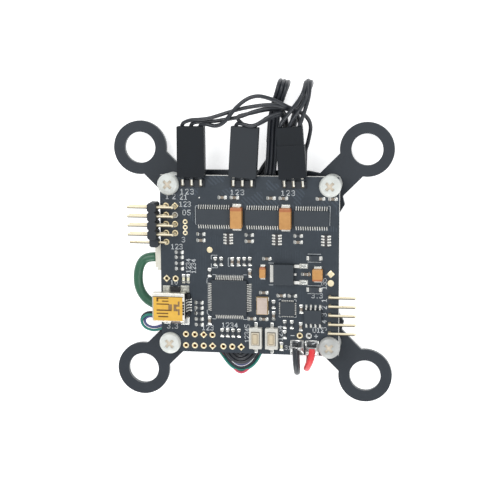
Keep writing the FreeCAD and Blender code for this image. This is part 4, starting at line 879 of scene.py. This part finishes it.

# Dark places round it: painted shade in the rear rim's windows, along the rim's
# seam and beside the shell's rear; the rear of the insert, the dark part between
# the far lands, and flux stains along the near side.
for shift in (0.0, 0.85, 1.6, 2.38, 3.2):
    block(shadows, (right - 0.58, film_high.y - 2.5 - shift, crest + 0.02),
          (right - 0.1, film_high.y - 1.85 - shift, crest + 0.05))
block(shadows, (left + 0.2, film_high.y - 0.66, crest + 0.02),
      (right - 0.3, film_high.y - 0.5, crest + 0.035))
for y0, y1, reach in ((film_high.y - 1.75, film_high.y - 0.2, 1.0),
                      (film_low.y + 1.1, film_high.y - 0.2, 0.22),
                      (film_low.y + 0.75, film_low.y + 1.5, 1.0)):
    block(shadows, (right - 0.02, y0, DECK + 0.02), (right + reach, y1, DECK + 1.3), 0, 0.1, 2)
block(shadows, (right - 0.04, film_low.y + 0.6, DECK + 0.2), (right + 0.03, film_high.y - 0.2, crest - 0.25))
on_board(shadows, -22.4, -19.4, shell_high.y - 0.4, shell_high.y + 0.8, 0.62, 0.05)
block(shadows, (-21.5, shell_low.y + 0.02, crest + 0.01), (-18.8, shell_low.y + 0.3, crest + 0.045), 1)
on_board(shadows, -22.1, -19.5, shell_low.y - 1.2, shell_low.y - 0.5, 0.05, index=1)
flux_stain = grained("flux_stain", (112, 102, 98), (150, 140, 134), 0.5, grain=1800.0)
finish_piece("socket_shade_and_dark_parts", shadows, [insert_and_shade_black, flux_stain])
usb_solder = bmesh.new()
for x, half, reach in ((-23.4, 1.1, 1.25), (-18.2, 1.25, 1.4)):
    for y0, y1, finish in ((shell_high.y - 0.9, shell_high.y + reach * 0.85, 1),
                           (shell_low.y - reach, shell_low.y + 0.9, 0)):
        on_board(usb_solder, x - half, x + half, y0, y1, 0.32, 0.14, 2, index=finish)
        block(usb_solder, (x - half * 0.7, y0 + 0.1, DECK + 0.2), (x + half * 0.75, y1 - 0.25, DECK + 0.5),
              finish, 0.14, 2)
for a, b in blocks_of("usb_contacts"):
    on_board(usb_solder, b.x - 0.9, b.x + 0.05, a.y + 0.02, b.y - 0.02, 0.22, 0.08, 2)
    block(usb_solder, (right, a.y + 0.04, DECK + 0.1), (right + 0.08, b.y - 0.04, crest - 1.3))
dull_solder = grained("dull_solder", (104, 106, 100), (206, 206, 196), 0.36, 0.6, grain=1500.0,
                      depth=20e-6, sheen_range=0.2)
finish_piece("usb_solder", usb_solder, [bright_solder, dull_solder])

# ---------------------------------------------------------------- push buttons
# Two 3 x 6 mm push switches: ivory base and cover, an ivory key over a steel
# dome, and one tinned terminal at each end.
ivory = grained("ivory_plastic", (196, 194, 186), (214, 212, 204), 0.4, grain=1600.0, depth=2e-6)
key_cream = grained("cream_key", (188, 174, 146), (204, 190, 164), 0.42, grain=1600.0, depth=2e-6)
dress("reset_switch_base boot_switch_base", ivory, edge=0.08)
dress("reset_switch_cover boot_switch_cover", ivory, edge=0.1)
dress("reset_button boot_button", key_cream, edge=0.12)
key_shoulder = grained("key_shoulder", (198, 188, 168), (214, 204, 184), 0.42, grain=1600.0)
spring_steel = grained("spring_steel", (150, 152, 154), (184, 186, 188), 0.25, 0.9, grain=1200.0)
dress("switch_terminals", bright_lead, edge=0.05)
groove_shade = grained("key_groove_shade", (122, 102, 76), (142, 122, 94), 0.5)
shadow_gap = grained("key_gap_shadow", (96, 90, 80), (116, 110, 98), 0.6)


def around(shape, x, y, half_x, half_y, floor, rise, *rounding, index=0):
    """A block from floor to rise with a given middle and half its sides, in mm."""
    block(shape, (x - half_x, y - half_y, floor), (x + half_x, y + half_y, rise), index, *rounding)


for name in ("reset", "boot"):
    low, high = box_mm(f"{name}_button")
    cover_low, cover_high = box_mm(f"{name}_switch_cover")
    middle, rim = (low + high) / 2, cover_high.z
    shoulder = bmesh.new()
    around(shoulder, middle.x, middle.y, 1.05, 1.78, rim + 0.27, rim + 0.42, 0.05)
    # Painted shade: the groove round the key's face is thin dark lines laid on it.
    for side in (-1, 1):                      # a groove round the middle of the key's face
        around(shoulder, middle.x + 0.6 * side, middle.y, 0.05, 1.4, high.z - 0.05, high.z + 0.01, index=1)
        around(shoulder, middle.x, middle.y + 1.38 * side, 0.6, 0.05, high.z - 0.05, high.z + 0.01, index=1)
    finish_piece(f"{name}_key_shoulder", shoulder, [key_shoulder, groove_shade],
                 body=f"{name}_key")
    gap = bmesh.new()
    around(gap, middle.x, middle.y, 1.22, 1.96, rim, rim + 0.012)
    finish_piece(f"{name}_key_gap", gap, [shadow_gap])
    dome_low, dome_high = box_mm(f"{name}_dome")
    reach, rise, skin = (dome_high.x - dome_low.x) / 2, dome_high.z - dome_low.z, 0.06
    bow = [(reach * math.cos(math.radians(turn)), dome_low.z + rise * math.sin(math.radians(turn)))
           for turn in range(0, 91, 18)]
    snap = bmesh.new()
    inside = [(max(0.0, radius - skin), max(dome_low.z, level - skin)) for radius, level in reversed(bow)]
    spun(snap, bow + inside, (dome_low.x + dome_high.x) / 2, (dome_low.y + dome_high.y) / 2)
    dome = finish_piece(f"{name}_snap_dome", snap, [spring_steel], f"{name}_dome", merge=True)
    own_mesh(dome)
    crimps = bmesh.new()
    for y in (cover_low.y, cover_high.y):
        around(crimps, middle.x, y, 0.75, 0.16, rim - 0.3, rim + 0.03, 0.12, 2)
    finish_piece(f"{name}_cover_crimps", crimps, [ivory])
switch_solder = bmesh.new()
for a, b in blocks_of("switch_terminals"):
    y0, y1 = (b.y - 0.8, b.y + 0.35) if a.y > -20 else (a.y - 0.35, a.y + 0.8)
    on_board(switch_solder, a.x - 0.08, b.x + 0.08, y0, y1, 0.42, 0.16, 2)
finish_piece("switch_solder", switch_solder, [bright_solder])

# ---------------------------------------------------------------- pin headers
# Square 0.64 mm brass pins bent over the board's edge: gold flashed for the
# servos and the receiver, tinned for the motors.  Solder rises round each one.
gold_pin = grained("gold_pin", (238, 222, 186), (250, 240, 212), 0.3, 0.35, grain=1800.0, depth=3e-6)
silver_pin = grained("silver_pin", (226, 222, 208), (246, 243, 232), 0.3, 0.3, grain=1800.0, depth=3e-6)
dress("servo_header_pins rc_header_pins", gold_pin, edge=0.1)
dress("motor_header_pins", silver_pin, edge=0.1)
# Painted shade: dark brown strips along the lower edge of the servo and receiver pins and along the left edge
# and the end of each motor pin.
pin_shade_brown = grained("pin_shade_brown", (66, 58, 44), (92, 82, 64), 0.7)
pin_edge_shades = bmesh.new()
MOTOR_LEVEL = 13.35                            # the middle of the motor pins, in mm
for node in ("servo_header_pins", "rc_header_pins"):
    for a, b in blocks_of(node):
        block(pin_edge_shades, (a.x + 0.15, a.y - 0.03, b.z - 0.45), (b.x - 0.4, a.y + 0.22, b.z + 0.02))
for x, y in sum(motor_rows, []):
    block(pin_edge_shades, (x - 0.35, y - 0.2, MOTOR_LEVEL), (x - 0.14, y + 1.7, MOTOR_LEVEL + 0.335))
    block(pin_edge_shades, (x - 0.35, y - 0.4, MOTOR_LEVEL - 0.15),
          (x + 0.35, y - 0.12, MOTOR_LEVEL + 0.34), 0, 0.1)
finish_piece("painted_pin_shades", pin_edge_shades, [pin_shade_brown])
pin_solder, pin_solder_under = bmesh.new(), bmesh.new()
UPPER_CONE = ((0.1, 0), (0.48, 0.05), (0.45, 0.11), (0.36, 0.22), (0.1, 0.3))
UNDER_CONE = ((0.1, 0), (0.7, -0.03), (0.66, -0.12), (0.5, -0.45), (0.3, -0.9), (0.1, -0.95))


def solder_cone(shape, outline, foot, x, y, index=0):
    """Solder round a pin, from an outline of radius and height over its foot."""
    spun(shape, [(radius, foot + height) for radius, height in outline], x, y, index, 16)


# The receiver pins' solder above the board takes the same painted shade.
for spot in receiver_holes + servo_holes:
    if spot in receiver_holes:
        solder_cone(pin_solder, UPPER_CONE, DECK, *spot, index=1)
    solder_cone(pin_solder, UNDER_CONE, UNDERSIDE, *spot)
finish_piece("pin_solder", pin_solder, [bright_solder, pin_shade_brown])

# Under each motor row a low strip of black nylon holds the three pins upright
# on the board.  A black block before each plug's mouth is painted shade that
# hides each pin where it enters the plug.  Their holes are filled with solder
# from below only.
motor_strips_and_shade = bmesh.new()
for number, holes in enumerate(motor_rows):
    (first_x, row_y), last_x = holes[0], holes[-1][0]
    on_board(motor_strips_and_shade, first_x - 1.0, last_x + 1.0, row_y - 0.75, row_y + 1.35, 0.42, 0.12)
    plug_mouth = box_mm(f"motor_plug_{number}")[0].y
    for x, y in holes:
        solder_cone(pin_solder_under, UNDER_CONE, UNDERSIDE, x, y)
        block(motor_strips_and_shade, (x - 0.5, y + 1.5, DECK + 0.3), (x + 0.5, plug_mouth + 0.1, DECK + 1.74))
finish_piece("motor_pin_solder", pin_solder_under, [bright_solder])

# The receiver header's insulator: five ribbed cells of black nylon in a strip,
# two rows deep, notched between the cells so that it can be snapped to length.
black_nylon_and_shade = grained("black_nylon_and_shade", (30, 35, 42), (38, 43, 50), 0.5, grain=1800.0, depth=4e-6)
dress("rc_header_insulator", black_nylon_and_shade, edge=0.12)
finish_piece("motor_pin_strips_and_shade", motor_strips_and_shade, [black_nylon_and_shade])

# ---------------------------------------------------------------- motor plugs
# Three loose three-way crimp housings of black nylon pushed onto the motor
# pins, each over three crimped contacts.  The locking windows face upwards.
housing = grained("plug_housing", (18, 25, 32), (26, 33, 40), 0.55, grain=1500.0, depth=4e-6)
# Painted shade: plugs 0 and 2 take a darker copy of the housing nylon, with weaker specular.
shaded_housing, _, shader, _ = grained_parts("shaded_housing", (8, 14, 20), (14, 21, 28), 0.5, grain=1500.0,
                                             depth=4e-6)
shader.inputs["Specular IOR Level"].default_value = 0.3
dress("motor_plug_1 power_plug", housing, edge=0.18)
dress("motor_plug_0 motor_plug_2", shaded_housing, edge=0.18)
dress("crimp_contacts", bright_lead, edge=0.04)

# ---------------------------------------------------------------- sensor socket
# A four-way side-entry socket of cream nylon under the board's left edge, with
# the sensor lead's plug in it, and a second plug left loose under the board.
cream_nylon = grained("cream_nylon", (216, 212, 200), (232, 228, 216), 0.4, grain=1500.0, depth=3e-6)
dress("sensor_socket sensor_plug sensor_lead_plug", cream_nylon, edge=0.12)

# ---------------------------------------------------------------- supply solder
# Two large lands at the lower edge, each buried under hand-laid solder that
# climbs over the wire's end and pulls out into ridges at the corners.
hand_solder, tree, shader, solder_colour = grained_parts(
    "hand_solder", (146, 147, 148), (246, 244, 238), 0.2, 0.7, grain=900.0, depth=34e-6, sheen_range=0.2)
axes = object_axes(tree)
# Painted reflection: a dark patch on the upper middle of each mound, for the dark surroundings that the shiny
# solder mirrors.
beside = maths(tree, "ABSOLUTE", maths(tree, "SUBTRACT", axes["X"], 15.57 * MM))
beside = maths(tree, "ABSOLUTE", maths(tree, "SUBTRACT", beside, 2.05 * MM))
dark_reflection_mask = maths(tree, "MULTIPLY", band(tree, axes["Y"], -22.4 * MM, -21.0 * MM),
                  maths(tree, "LESS_THAN", beside, 1.35 * MM))
tree.links.new(mixed(tree, maths(tree, "MULTIPLY", dark_reflection_mask, 0.85), solder_colour, (56, 60, 66)),
               shader.inputs["Base Color"])
mounds = bmesh.new()


def heap(shape, x0, x1, y0, y1, heights):
    """Solder over a land in mm: a grid pulled up to heights given from its far
    edge to its near edge, smoothed, and closed underneath."""
    down, wide = len(heights), len(heights[0])
    made = bmesh.ops.create_grid(shape, x_segments=wide - 1, y_segments=down - 1, size=0.5)["verts"]
    for vert in made:
        column = round((vert.co.x + 0.5) * (wide - 1))
        row = round((0.5 - vert.co.y) * (down - 1))
        vert.co = Vector((x0 + (x1 - x0) * (vert.co.x + 0.5), y0 + (y1 - y0) * (vert.co.y + 0.5),
                          DECK + heights[row][column])) * MM
    faces = list({face for vert in made for face in vert.link_faces})
    edges = list({edge for face in faces for edge in face.edges})
    bmesh.ops.subdivide_edges(shape, edges=edges, cuts=2, use_grid_fill=True, smooth=0.8)
    skin = [face for face in shape.faces if face.calc_center_median().z > TOP
            and x0 < face.calc_center_median().x / MM < x1]
    verts = list({vert for face in skin for vert in face.verts if not vert.is_boundary})
    for _ in range(2):
        bmesh.ops.smooth_vert(shape, verts=verts, factor=0.5,
                              use_axis_x=True, use_axis_y=True, use_axis_z=True)
    base = bmesh.ops.extrude_face_region(shape, geom=skin, use_keep_orig=True)["geom"]
    for item in base:
        if isinstance(item, bmesh.types.BMVert):
            item.co.z = TOP
    for face in skin:
        face.smooth = True


heap(mounds, 11.6, 15.4, -24.9, -20.7, [
    [0.35, 0.08, 0.06, 0.06, 0.06, 0.1, 0.35],
    [0.7, 0.25, 0.1, 0.08, 0.3, 0.7, 0.6],
    [1.0, 1.1, 0.9, 0.7, 1.1, 1.3, 0.9],
    [1.1, 1.6, 1.9, 2.1, 2.0, 1.6, 1.0],
    [1.0, 1.5, 1.7, 2.0, 1.9, 1.5, 0.9],
    [0.8, 0.9, 0.35, 0.2, 0.4, 1.1, 0.9],
    [0.5, 0.3, 0.08, 0.06, 0.1, 0.5, 0.7],
    [0.2, 0.1, 0.06, 0.06, 0.06, 0.12, 0.3]])
heap(mounds, 15.75, 19.6, -24.9, -20.7, [
    [0.5, 0.1, 0.06, 0.06, 0.06, 0.1, 0.3],
    [0.8, 0.12, 0.08, 0.08, 0.08, 0.12, 0.5],
    [0.8, 0.9, 0.3, 0.2, 0.3, 0.9, 0.7],
    [0.5, 1.5, 1.7, 1.6, 1.8, 1.7, 0.7],
    [0.12, 1.1, 2.0, 2.2, 2.1, 1.4, 0.5],
    [0.08, 0.5, 1.4, 1.8, 1.5, 0.7, 0.4],
    [0.08, 0.1, 0.2, 0.3, 0.3, 0.3, 0.5],
    [0.06, 0.06, 0.06, 0.06, 0.06, 0.1, 0.3]])
finish_piece("supply_solder", mounds, [hand_solder], "power_solder")
# ---------------------------------------------------------------- supply wires
# One black and one red wire of 1.85 mm, silicone insulated, soldered on the
# two pads and pushed into one loose two-way plug under the board.
UP = Vector((0, 0, 1))
SUPPLY_RADIUS, TIP_RADIUS, TIP_REACH, SENSOR_RADIUS, SLEEVE_RADIUS = 0.925, 0.24, 3, 0.36, 1.35


def mesh_along(kind, points, **settings):
    """The mesh of one curve through points in metres."""
    curve = bpy.data.curves.new("route", "CURVE")
    curve.dimensions = "3D"
    for name, value in settings.items():
        setattr(curve, name, value)
    spline = curve.splines.new(kind)
    spline.points.add(len(points) - 1)
    for knot, point in zip(spline.points, points):
        knot.co = (*point, 1)
    spline.order_u, spline.use_endpoint_u = 3, True           # read by a NURBS course only
    holder = bpy.data.objects.new("route", curve)
    mesh = bpy.data.meshes.new_from_object(holder)
    bpy.data.objects.remove(holder)
    bpy.data.curves.remove(curve)
    return mesh


def route_line(points):
    """The smooth centre line of a wire, from its route's points in millimetres."""
    mesh = mesh_along("NURBS", [[part * MM for part in point] for point in points], resolution_u=10)
    line = [vert.co.copy() for vert in mesh.vertices]
    bpy.data.meshes.remove(mesh)
    return line


def add_strand(shape, line, radius, index=0, roundness=3):
    """Add a round wire, closed at both ends, along points of a smooth line."""
    mesh = mesh_along("POLY", line, bevel_depth=radius, bevel_resolution=roundness, use_fill_caps=True)
    before = len(shape.faces)
    shape.from_mesh(mesh)
    shape.faces.ensure_lookup_table()
    for face in shape.faces[before:]:
        face.material_index = index
        face.smooth = True
    bpy.data.meshes.remove(mesh)


def finish_strands(name, shape, materials, node):
    """Join the seams of wires and show them in place of their CAD node."""
    bmesh.ops.remove_doubles(shape, verts=shape.verts, dist=1e-6)
    return finish_piece(name, shape, materials, node)


black_insulation = grained("black_insulation", (32, 35, 40), (43, 46, 52), 0.36, grain=1200.0)
red_insulation = grained("red_insulation", (206, 44, 50), (226, 66, 70), 0.4, grain=1200.0)

power_routes = {
    "power_wire_black": (black_insulation, [
        (13.2, -22.6, 13.3), (13.25, -27.0, 13.0), (13.3, -30.6, 10.4), (12.7, -31.2, 5.2),
        (12.1, -28.4, 1.5), (11.9, -23.4, 1.3), (10.4, -19.6, 1.3), (5.8, -18.47, 1.3), (1.5, -18.47, 1.3)]),
    "power_wire_red": (red_insulation, [
        (17.8, -22.7, 13.4), (17.8, -24.6, 13.3), (17.0, -27.0, 12.5), (15.9, -29.4, 9.6),
        (15.6, -30.2, 5.5), (15.9, -29.2, 1.9), (15.8, -26.6, 1.3), (15.2, -22.0, 1.3), (13.2, -17.4, 1.3),
        (7.4, -15.93, 1.3), (1.5, -15.93, 1.3)]),
}
for node, (insulation, route) in power_routes.items():
    line = route_line(route)
    shape = bmesh.new()
    add_strand(shape, line, SUPPLY_RADIUS * MM, roundness=5)
    wire = finish_strands(f"{node}_insulation", shape, [insulation], node)

# ---------------------------------------------------------------- motor leads
# Three leads of three thin black wires each.  They fan out to the ways of
# their plugs, cross over each other and run loosely bundled under the board.


def frames_along(line, across):
    """Point, sideways and upward direction along a line; sideways settles level."""
    found = []
    for i, point in enumerate(line):
        heading = (line[min(i + 1, len(line) - 1)] - line[max(i - 1, 0)]).normalized()
        across = (across - heading * across.dot(heading)).normalized()
        level = heading.cross(UP)
        if level.length > 0.5:
            level = level.normalized() * (1 if level.dot(across) > 0 else -1)
            across = across.lerp(level, 0.12).normalized()
        found.append((point, across, heading.cross(across)))
    return found


def between(stations, distance):
    """Values at a distance along a lead, eased from one station to the next."""
    for (s0, *low), (s1, *high) in zip(stations, stations[1:]):
        if distance <= s1:
            share = min(1, max(0, (distance - s0) / (s1 - s0)))
            share = share * share * (3 - 2 * share)
            return [a + (b - a) * share for a, b in zip(low, high)]
    return list(stations[-1][1:])


def laid_strands(line, stations, ways=(-1, 0, 1), bows=()):
    """The line of each wire in a lead.  A station is distance, row spacing, bundle
    radius and turn in degrees; a bow pushes one wire out between two distances."""
    strands = [[] for _ in ways]
    travelled, last = 0.0, line[0]
    for point, across, lift in frames_along(line, Vector((1, 0, 0))):
        travelled += (point - last).length / MM
        last = point
        row, radius, turn = between(stations, travelled)
        for number, way in enumerate(ways):
            angle = math.radians(turn + 360 / len(ways) * number)
            spot = point + across * (row * way * MM)
            spot += (across * math.cos(angle) + lift * math.sin(angle)) * (radius * MM)
            for wire, start, end, push in bows:
                if wire == number and start < travelled < end:
                    swell = math.sin(math.pi * (travelled - start) / (end - start)) ** 2
                    spot += Vector(push) * (swell * MM)
            strands[number].append(spot)
    return strands


def led_out(strands, line, join, courses):
    """Give wires their own course out of the plug, before they join the bundle
    at a distance along it."""
    for wire, course in enumerate(courses):
        travelled, rest = 0.0, []
        for before, after, spot in zip(line, line[1:], strands[wire][1:]):
            travelled += (after - before).length / MM
            if travelled > join:
                rest.append(tuple(spot / MM))
        strands[wire] = route_line(course + rest[::6] + rest[-1:])


# Each lead: widths of the bundle and of one wire, the route of its middle, its
# stations, where its wires join it, and the course of each wire up to there.
motor_routes = [
    (2.1, 1.1, [
        (-15.75, 38.65, 13.35), (-15.7, 40.1, 13.8), (-13.4, 40.6, 14.5), (-10.2, 40.2, 15.0),
        (-6.8, 40.6, 15.3), (-3.8, 42.1, 15.6), (-0.4, 43.8, 15.5), (3.0, 44.7, 15.4), (6.5, 44.9, 15.4),
        (9.8, 44.3, 15.0), (12.6, 43.2, 13.4), (14.7, 41.4, 11.6), (15.3, 38.8, 10.4), (15.0, 35.4, 9.2),
        (14.7, 32.2, 8.4), (14.5, 27.6, 7.4), (14.3, 22.0, 6.9), (13.8, 15.6, 6.9), (12.8, 8.6, 6.9),
        (11.2, 1.4, 6.9), (8.8, -5.6, 6.9), (5.8, -12.2, 6.9), (3.4, -18.4, 7.4), (1.6, -22.4, 8.2),
        (0.3, -25.4, 8.6), (-1.4, -27.2, 8.6), (-3.4, -27.7, 8.6), (-5.3, -26.7, 8.6), (-6.6, -24.4, 8.4),
        (-7.6, -21.4, 7.6), (-8.4, -18.0, 6.9), (-8.4, -14.2, 6.9)],
     [(0, 2.54, 0, 0), (9, 0, 0.52, 90), (60, 0, 0.55, 330), (94, 0, 0.55, 500), (102, 1.06, 0, 500),
      (116, 1.06, 0, 500), (124, 0, 0.52, 600)],
     44,
     [[(-18.29, 38.4, 13.35), (-18.1, 39.3, 13.7), (-17.0, 40.0, 14.2), (-15.2, 40.5, 14.8),
       (-12.9, 40.6, 15.2), (-10.4, 40.9, 15.5), (-7.8, 41.7, 15.7), (-5.3, 42.5, 15.6), (-2.0, 43.5, 15.2),
       (1.6, 44.2, 15.2), (5.4, 44.7, 15.4), (8.6, 44.6, 15.2), (11.0, 43.8, 14.4), (12.8, 42.8, 13.0),
       (13.7, 41.2, 11.6), (14.0, 38.8, 10.4), (13.8, 35.6, 9.4), (13.9, 32.6, 8.7)],
      [(-15.75, 38.4, 13.35), (-15.7, 39.1, 13.5), (-14.6, 39.8, 13.9), (-11.6, 40.0, 14.3),
       (-8.9, 40.1, 14.4), (-6.7, 40.5, 14.4), (-4.6, 40.8, 14.4), (-2.5, 41.2, 14.4), (-0.6, 41.8, 14.4),
       (1.5, 42.7, 14.4), (4.6, 43.5, 14.4), (7.7, 43.9, 14.2), (9.9, 43.7, 13.8), (11.8, 43.1, 13.0),
       (13.4, 41.6, 11.2), (14.2, 38.6, 9.6), (14.3, 35.2, 8.8), (14.2, 32.4, 8.1)],
      [(-13.21, 38.4, 13.35), (-13.1, 39.2, 13.8), (-11.4, 39.4, 14.6), (-9.1, 38.8, 15.0),
       (-7.4, 39.1, 15.4), (-5.9, 40.1, 15.9), (-4.6, 41.6, 16.3), (-3.2, 43.4, 16.6), (-1.4, 45.1, 16.8),
       (0.8, 46.6, 16.8), (3.4, 47.2, 16.8), (6.0, 46.6, 16.7), (8.6, 45.6, 16.3), (10.9, 44.2, 15.0),
       (13.0, 43.2, 13.4), (15.0, 42.2, 12.4), (16.5, 40.6, 11.5), (17.0, 38.6, 10.9), (16.6, 36.4, 10.0),
       (15.8, 33.4, 9.0)]]),
    (2.1, 1.06, [
        (-0.70, 38.62, 13.35), (-0.75, 39.7, 13.9), (-0.5, 40.8, 14.6), (0.8, 41.4, 15.0),
        (2.6, 41.1, 15.1), (4.6, 41.3, 15.1), (6.6, 41.9, 15.0), (8.6, 42.5, 14.6), (10.2, 42.6, 13.4),
        (10.9, 41.2, 11.4), (10.4, 38.2, 9.4), (8.6, 34.2, 7.6), (5.6, 30.2, 6.8), (2.8, 26.0, 6.8),
        (0.8, 20.8, 6.9), (-0.9, 15.0, 6.9), (-1.5, 8.4, 6.9), (-1.4, 1.6, 6.9), (-2.2, -5.0, 6.9)],
     [(0, 2.54, 0, 0), (8, 0, 0.52, 60), (70, 0, 0.52, 420)],
     20,
     [[(-3.24, 38.4, 13.35), (-3.2, 39.2, 13.8), (-2.3, 39.7, 14.6), (-0.6, 39.3, 15.2), (1.1, 38.9, 15.3),
       (2.7, 39.3, 15.3), (4.2, 40.2, 15.3), (5.8, 41.3, 15.3), (7.9, 42.3, 15.0), (9.8, 42.8, 14.0)],
      [(-0.7, 38.4, 13.35), (-0.9, 39.0, 13.6), (-1.8, 39.8, 13.8), (-2.7, 40.6, 13.8), (-2.7, 41.4, 13.6),
       (-1.4, 41.8, 13.4), (1.5, 42.4, 13.6), (4.6, 43.2, 13.6), (7.7, 43.5, 13.5), (10.2, 42.9, 13.1)],
      [(1.84, 38.4, 13.35), (2.0, 39.0, 13.6), (3.8, 39.7, 14.3), (5.7, 40.8, 14.5), (7.8, 41.7, 14.3),
       (9.7, 42.1, 13.5)]]),
    (2.4, 1.1, [
        (11.42, 38.61, 13.35), (11.5, 40.0, 14.0), (12.8, 42.2, 15.3), (14.6, 44.8, 16.8),
        (15.8, 47.2, 17.2), (16.3, 49.3, 16.9), (16.5, 50.8, 15.2), (16.5, 51.0, 11.2), (16.1, 50.0, 6.4),
        (15.1, 48.4, 2.8), (13.6, 45.3, 1.45), (11.6, 41.2, 1.45), (10.6, 37.0, 1.45), (10.9, 31.2, 1.45),
        (11.6, 24.6, 1.45), (12.4, 18.2, 1.45), (12.2, 12.4, 1.5), (10.3, 7.8, 2.6), (6.9, 5.3, 4.4),
        (3.9, 6.5, 6.4), (2.5, 10.0, 7.9), (2.8, 14.4, 8.7), (4.0, 19.0, 8.8), (5.2, 23.4, 8.7),
        (5.9, 28.2, 9.2), (6.2, 33.4, 9.5), (6.4, 38.2, 9.9), (6.9, 41.8, 10.7), (7.9, 45.1, 11.7),
        (8.8, 47.4, 12.8), (9.4, 49.5, 13.2), (9.6, 50.8, 11.6), (9.6, 51.0, 8.4), (9.1, 50.0, 5.0),
        (8.0, 48.3, 2.4), (6.9, 45.4, 1.5), (5.8, 41.4, 1.45), (5.2, 36.5, 1.45), (5.0, 33.4, 1.45)],
     [(0, 2.54, 0, 0), (12, 0.6, 0.12, 90), (20, 0.4, 0.3, 120), (30, 0, 0.62, 150), (60, 0, 0.62, 180),
      (74, 1.07, 0, 180), (132, 1.07, 0, 180), (146, 1.07, 0, 180)],
     15,
     [[(8.88, 38.4, 13.35), (9.1, 39.6, 13.8), (10.4, 41.1, 14.9), (12.1, 43.1, 16.2), (13.6, 44.9, 17.1),
       (14.8, 46.5, 17.5), (15.7, 48.2, 17.5)],
      [(11.42, 38.4, 13.35), (11.8, 39.8, 13.9), (13.2, 42.0, 15.0), (15.0, 44.2, 16.2), (16.0, 46.0, 16.9),
       (16.7, 47.9, 17.1)],
      [(13.96, 38.4, 13.35), (14.5, 39.8, 13.8), (15.5, 42.4, 14.9), (16.5, 45.2, 16.0),
       (17.1, 47.4, 16.6)]]),
]
tips = bmesh.new()
for index, (bundle, thickness, route, stations, join, courses) in enumerate(motor_routes):
    line = route_line(route)
    shape = bmesh.new()
    strands = laid_strands(line, stations)
    led_out(strands, line, join, courses)
    for strand in strands:
        add_strand(shape, strand, thickness / 2 * MM)
        heading = (strand[-1] - strand[-4]).normalized()
        add_strand(tips, [strand[-1] - heading * MM, strand[-1] + heading * TIP_REACH * MM], TIP_RADIUS * MM)
    node = f"motor_lead_{index}"
    lead = finish_strands(f"{node}_wires", shape, [black_insulation], node)
tip_piece = finish_strands("tinned_tips", tips, [bright_solder], "tinned_lead_ends")

# ---------------------------------------------------------------- sensor lead
# Four thin coloured wires that leave the sensor plug inside a green sleeve,
# loop out beside the board twice, and end in a small plug in the gap.
sleeve_route = [
    (-27.1, 1.4, 8.9), (-29.7, 1.4, 8.9), (-31.7, -0.6, 8.9), (-32.5, -4.2, 8.8), (-32.1, -8.0, 8.7),
    (-30.2, -11.0, 8.6), (-27.0, -12.6, 8.6), (-23.4, -13.0, 8.6)]
sensor_route = [
    (-20.4, -13.33, 8.6), (-17.6, -13.5, 8.6), (-15.7, -15.0, 8.6), (-15.6, -17.4, 8.6),
    (-17.3, -19.1, 8.6), (-20.0, -19.0, 8.6), (-23.6, -17.2, 8.6), (-26.9, -15.6, 8.3), (-29.9, -15.3, 7.9),
    (-31.7, -16.9, 7.6), (-31.0, -19.2, 7.3), (-28.2, -20.1, 7.0), (-25.0, -18.8, 6.7),
    (-21.2, -17.3, 6.55), (-17.0, -17.6, 6.6), (-13.4, -19.8, 6.6), (-10.9, -22.0, 6.6), (-8.9, -24.8, 6.6),
    (-7.4, -26.9, 6.6), (-6.2, -28.6, 6.6), (-4.9, -29.8, 6.6), (-3.4, -30.3, 6.6), (-1.8, -29.9, 6.6),
    (-0.4, -28.9, 6.6), (0.7, -27.4, 6.6), (1.7, -25.2, 6.6), (3.4, -22.0, 6.7), (6.0, -19.2, 6.7),
    (9.0, -17.8, 6.7), (12.6, -17.8, 6.7)]
sensor_line = route_line(sleeve_route + sensor_route)
green_sleeve = grained("green_sleeve", (42, 86, 64), (56, 104, 80), 0.36, grain=900.0)
strand_paints = [grained(name, dark, light, 0.52, grain=1200.0) for name, dark, light in (
    ("red_strand", (186, 62, 84), (208, 86, 106)), ("violet_strand", (62, 68, 112), (88, 94, 140)),
    ("green_strand", (18, 104, 94), (38, 130, 116)), ("black_strand", (32, 37, 44), (42, 48, 56)))]
shape = bmesh.new()
stations = [(0, 0, 0.55, 45), (60, 0, 0.6, 300), (72, 0, 0.55, 420), (80, 0.72, 0, 420), (94, 0.72, 0, 420),
            (102, 0, 0.55, 600)]
hidden = [(0, 77, 97, (0, 0, -0.8)), (0, 83.5, 90.5, (0, -0.95, 1.3))]
for index, strand in enumerate(laid_strands(sensor_line, stations, (-1.0, 0.65, -1.5, -0.5), hidden)):
    add_strand(shape, strand, SENSOR_RADIUS * MM, index)
sensor_wires = finish_strands("sensor_wires", shape, strand_paints, "sensor_lead")
shape = bmesh.new()
add_strand(shape, route_line(sleeve_route), SLEEVE_RADIUS * MM, roundness=6)
sleeve = finish_strands("sensor_sleeve_tube", shape, [green_sleeve], "sensor_sleeve")
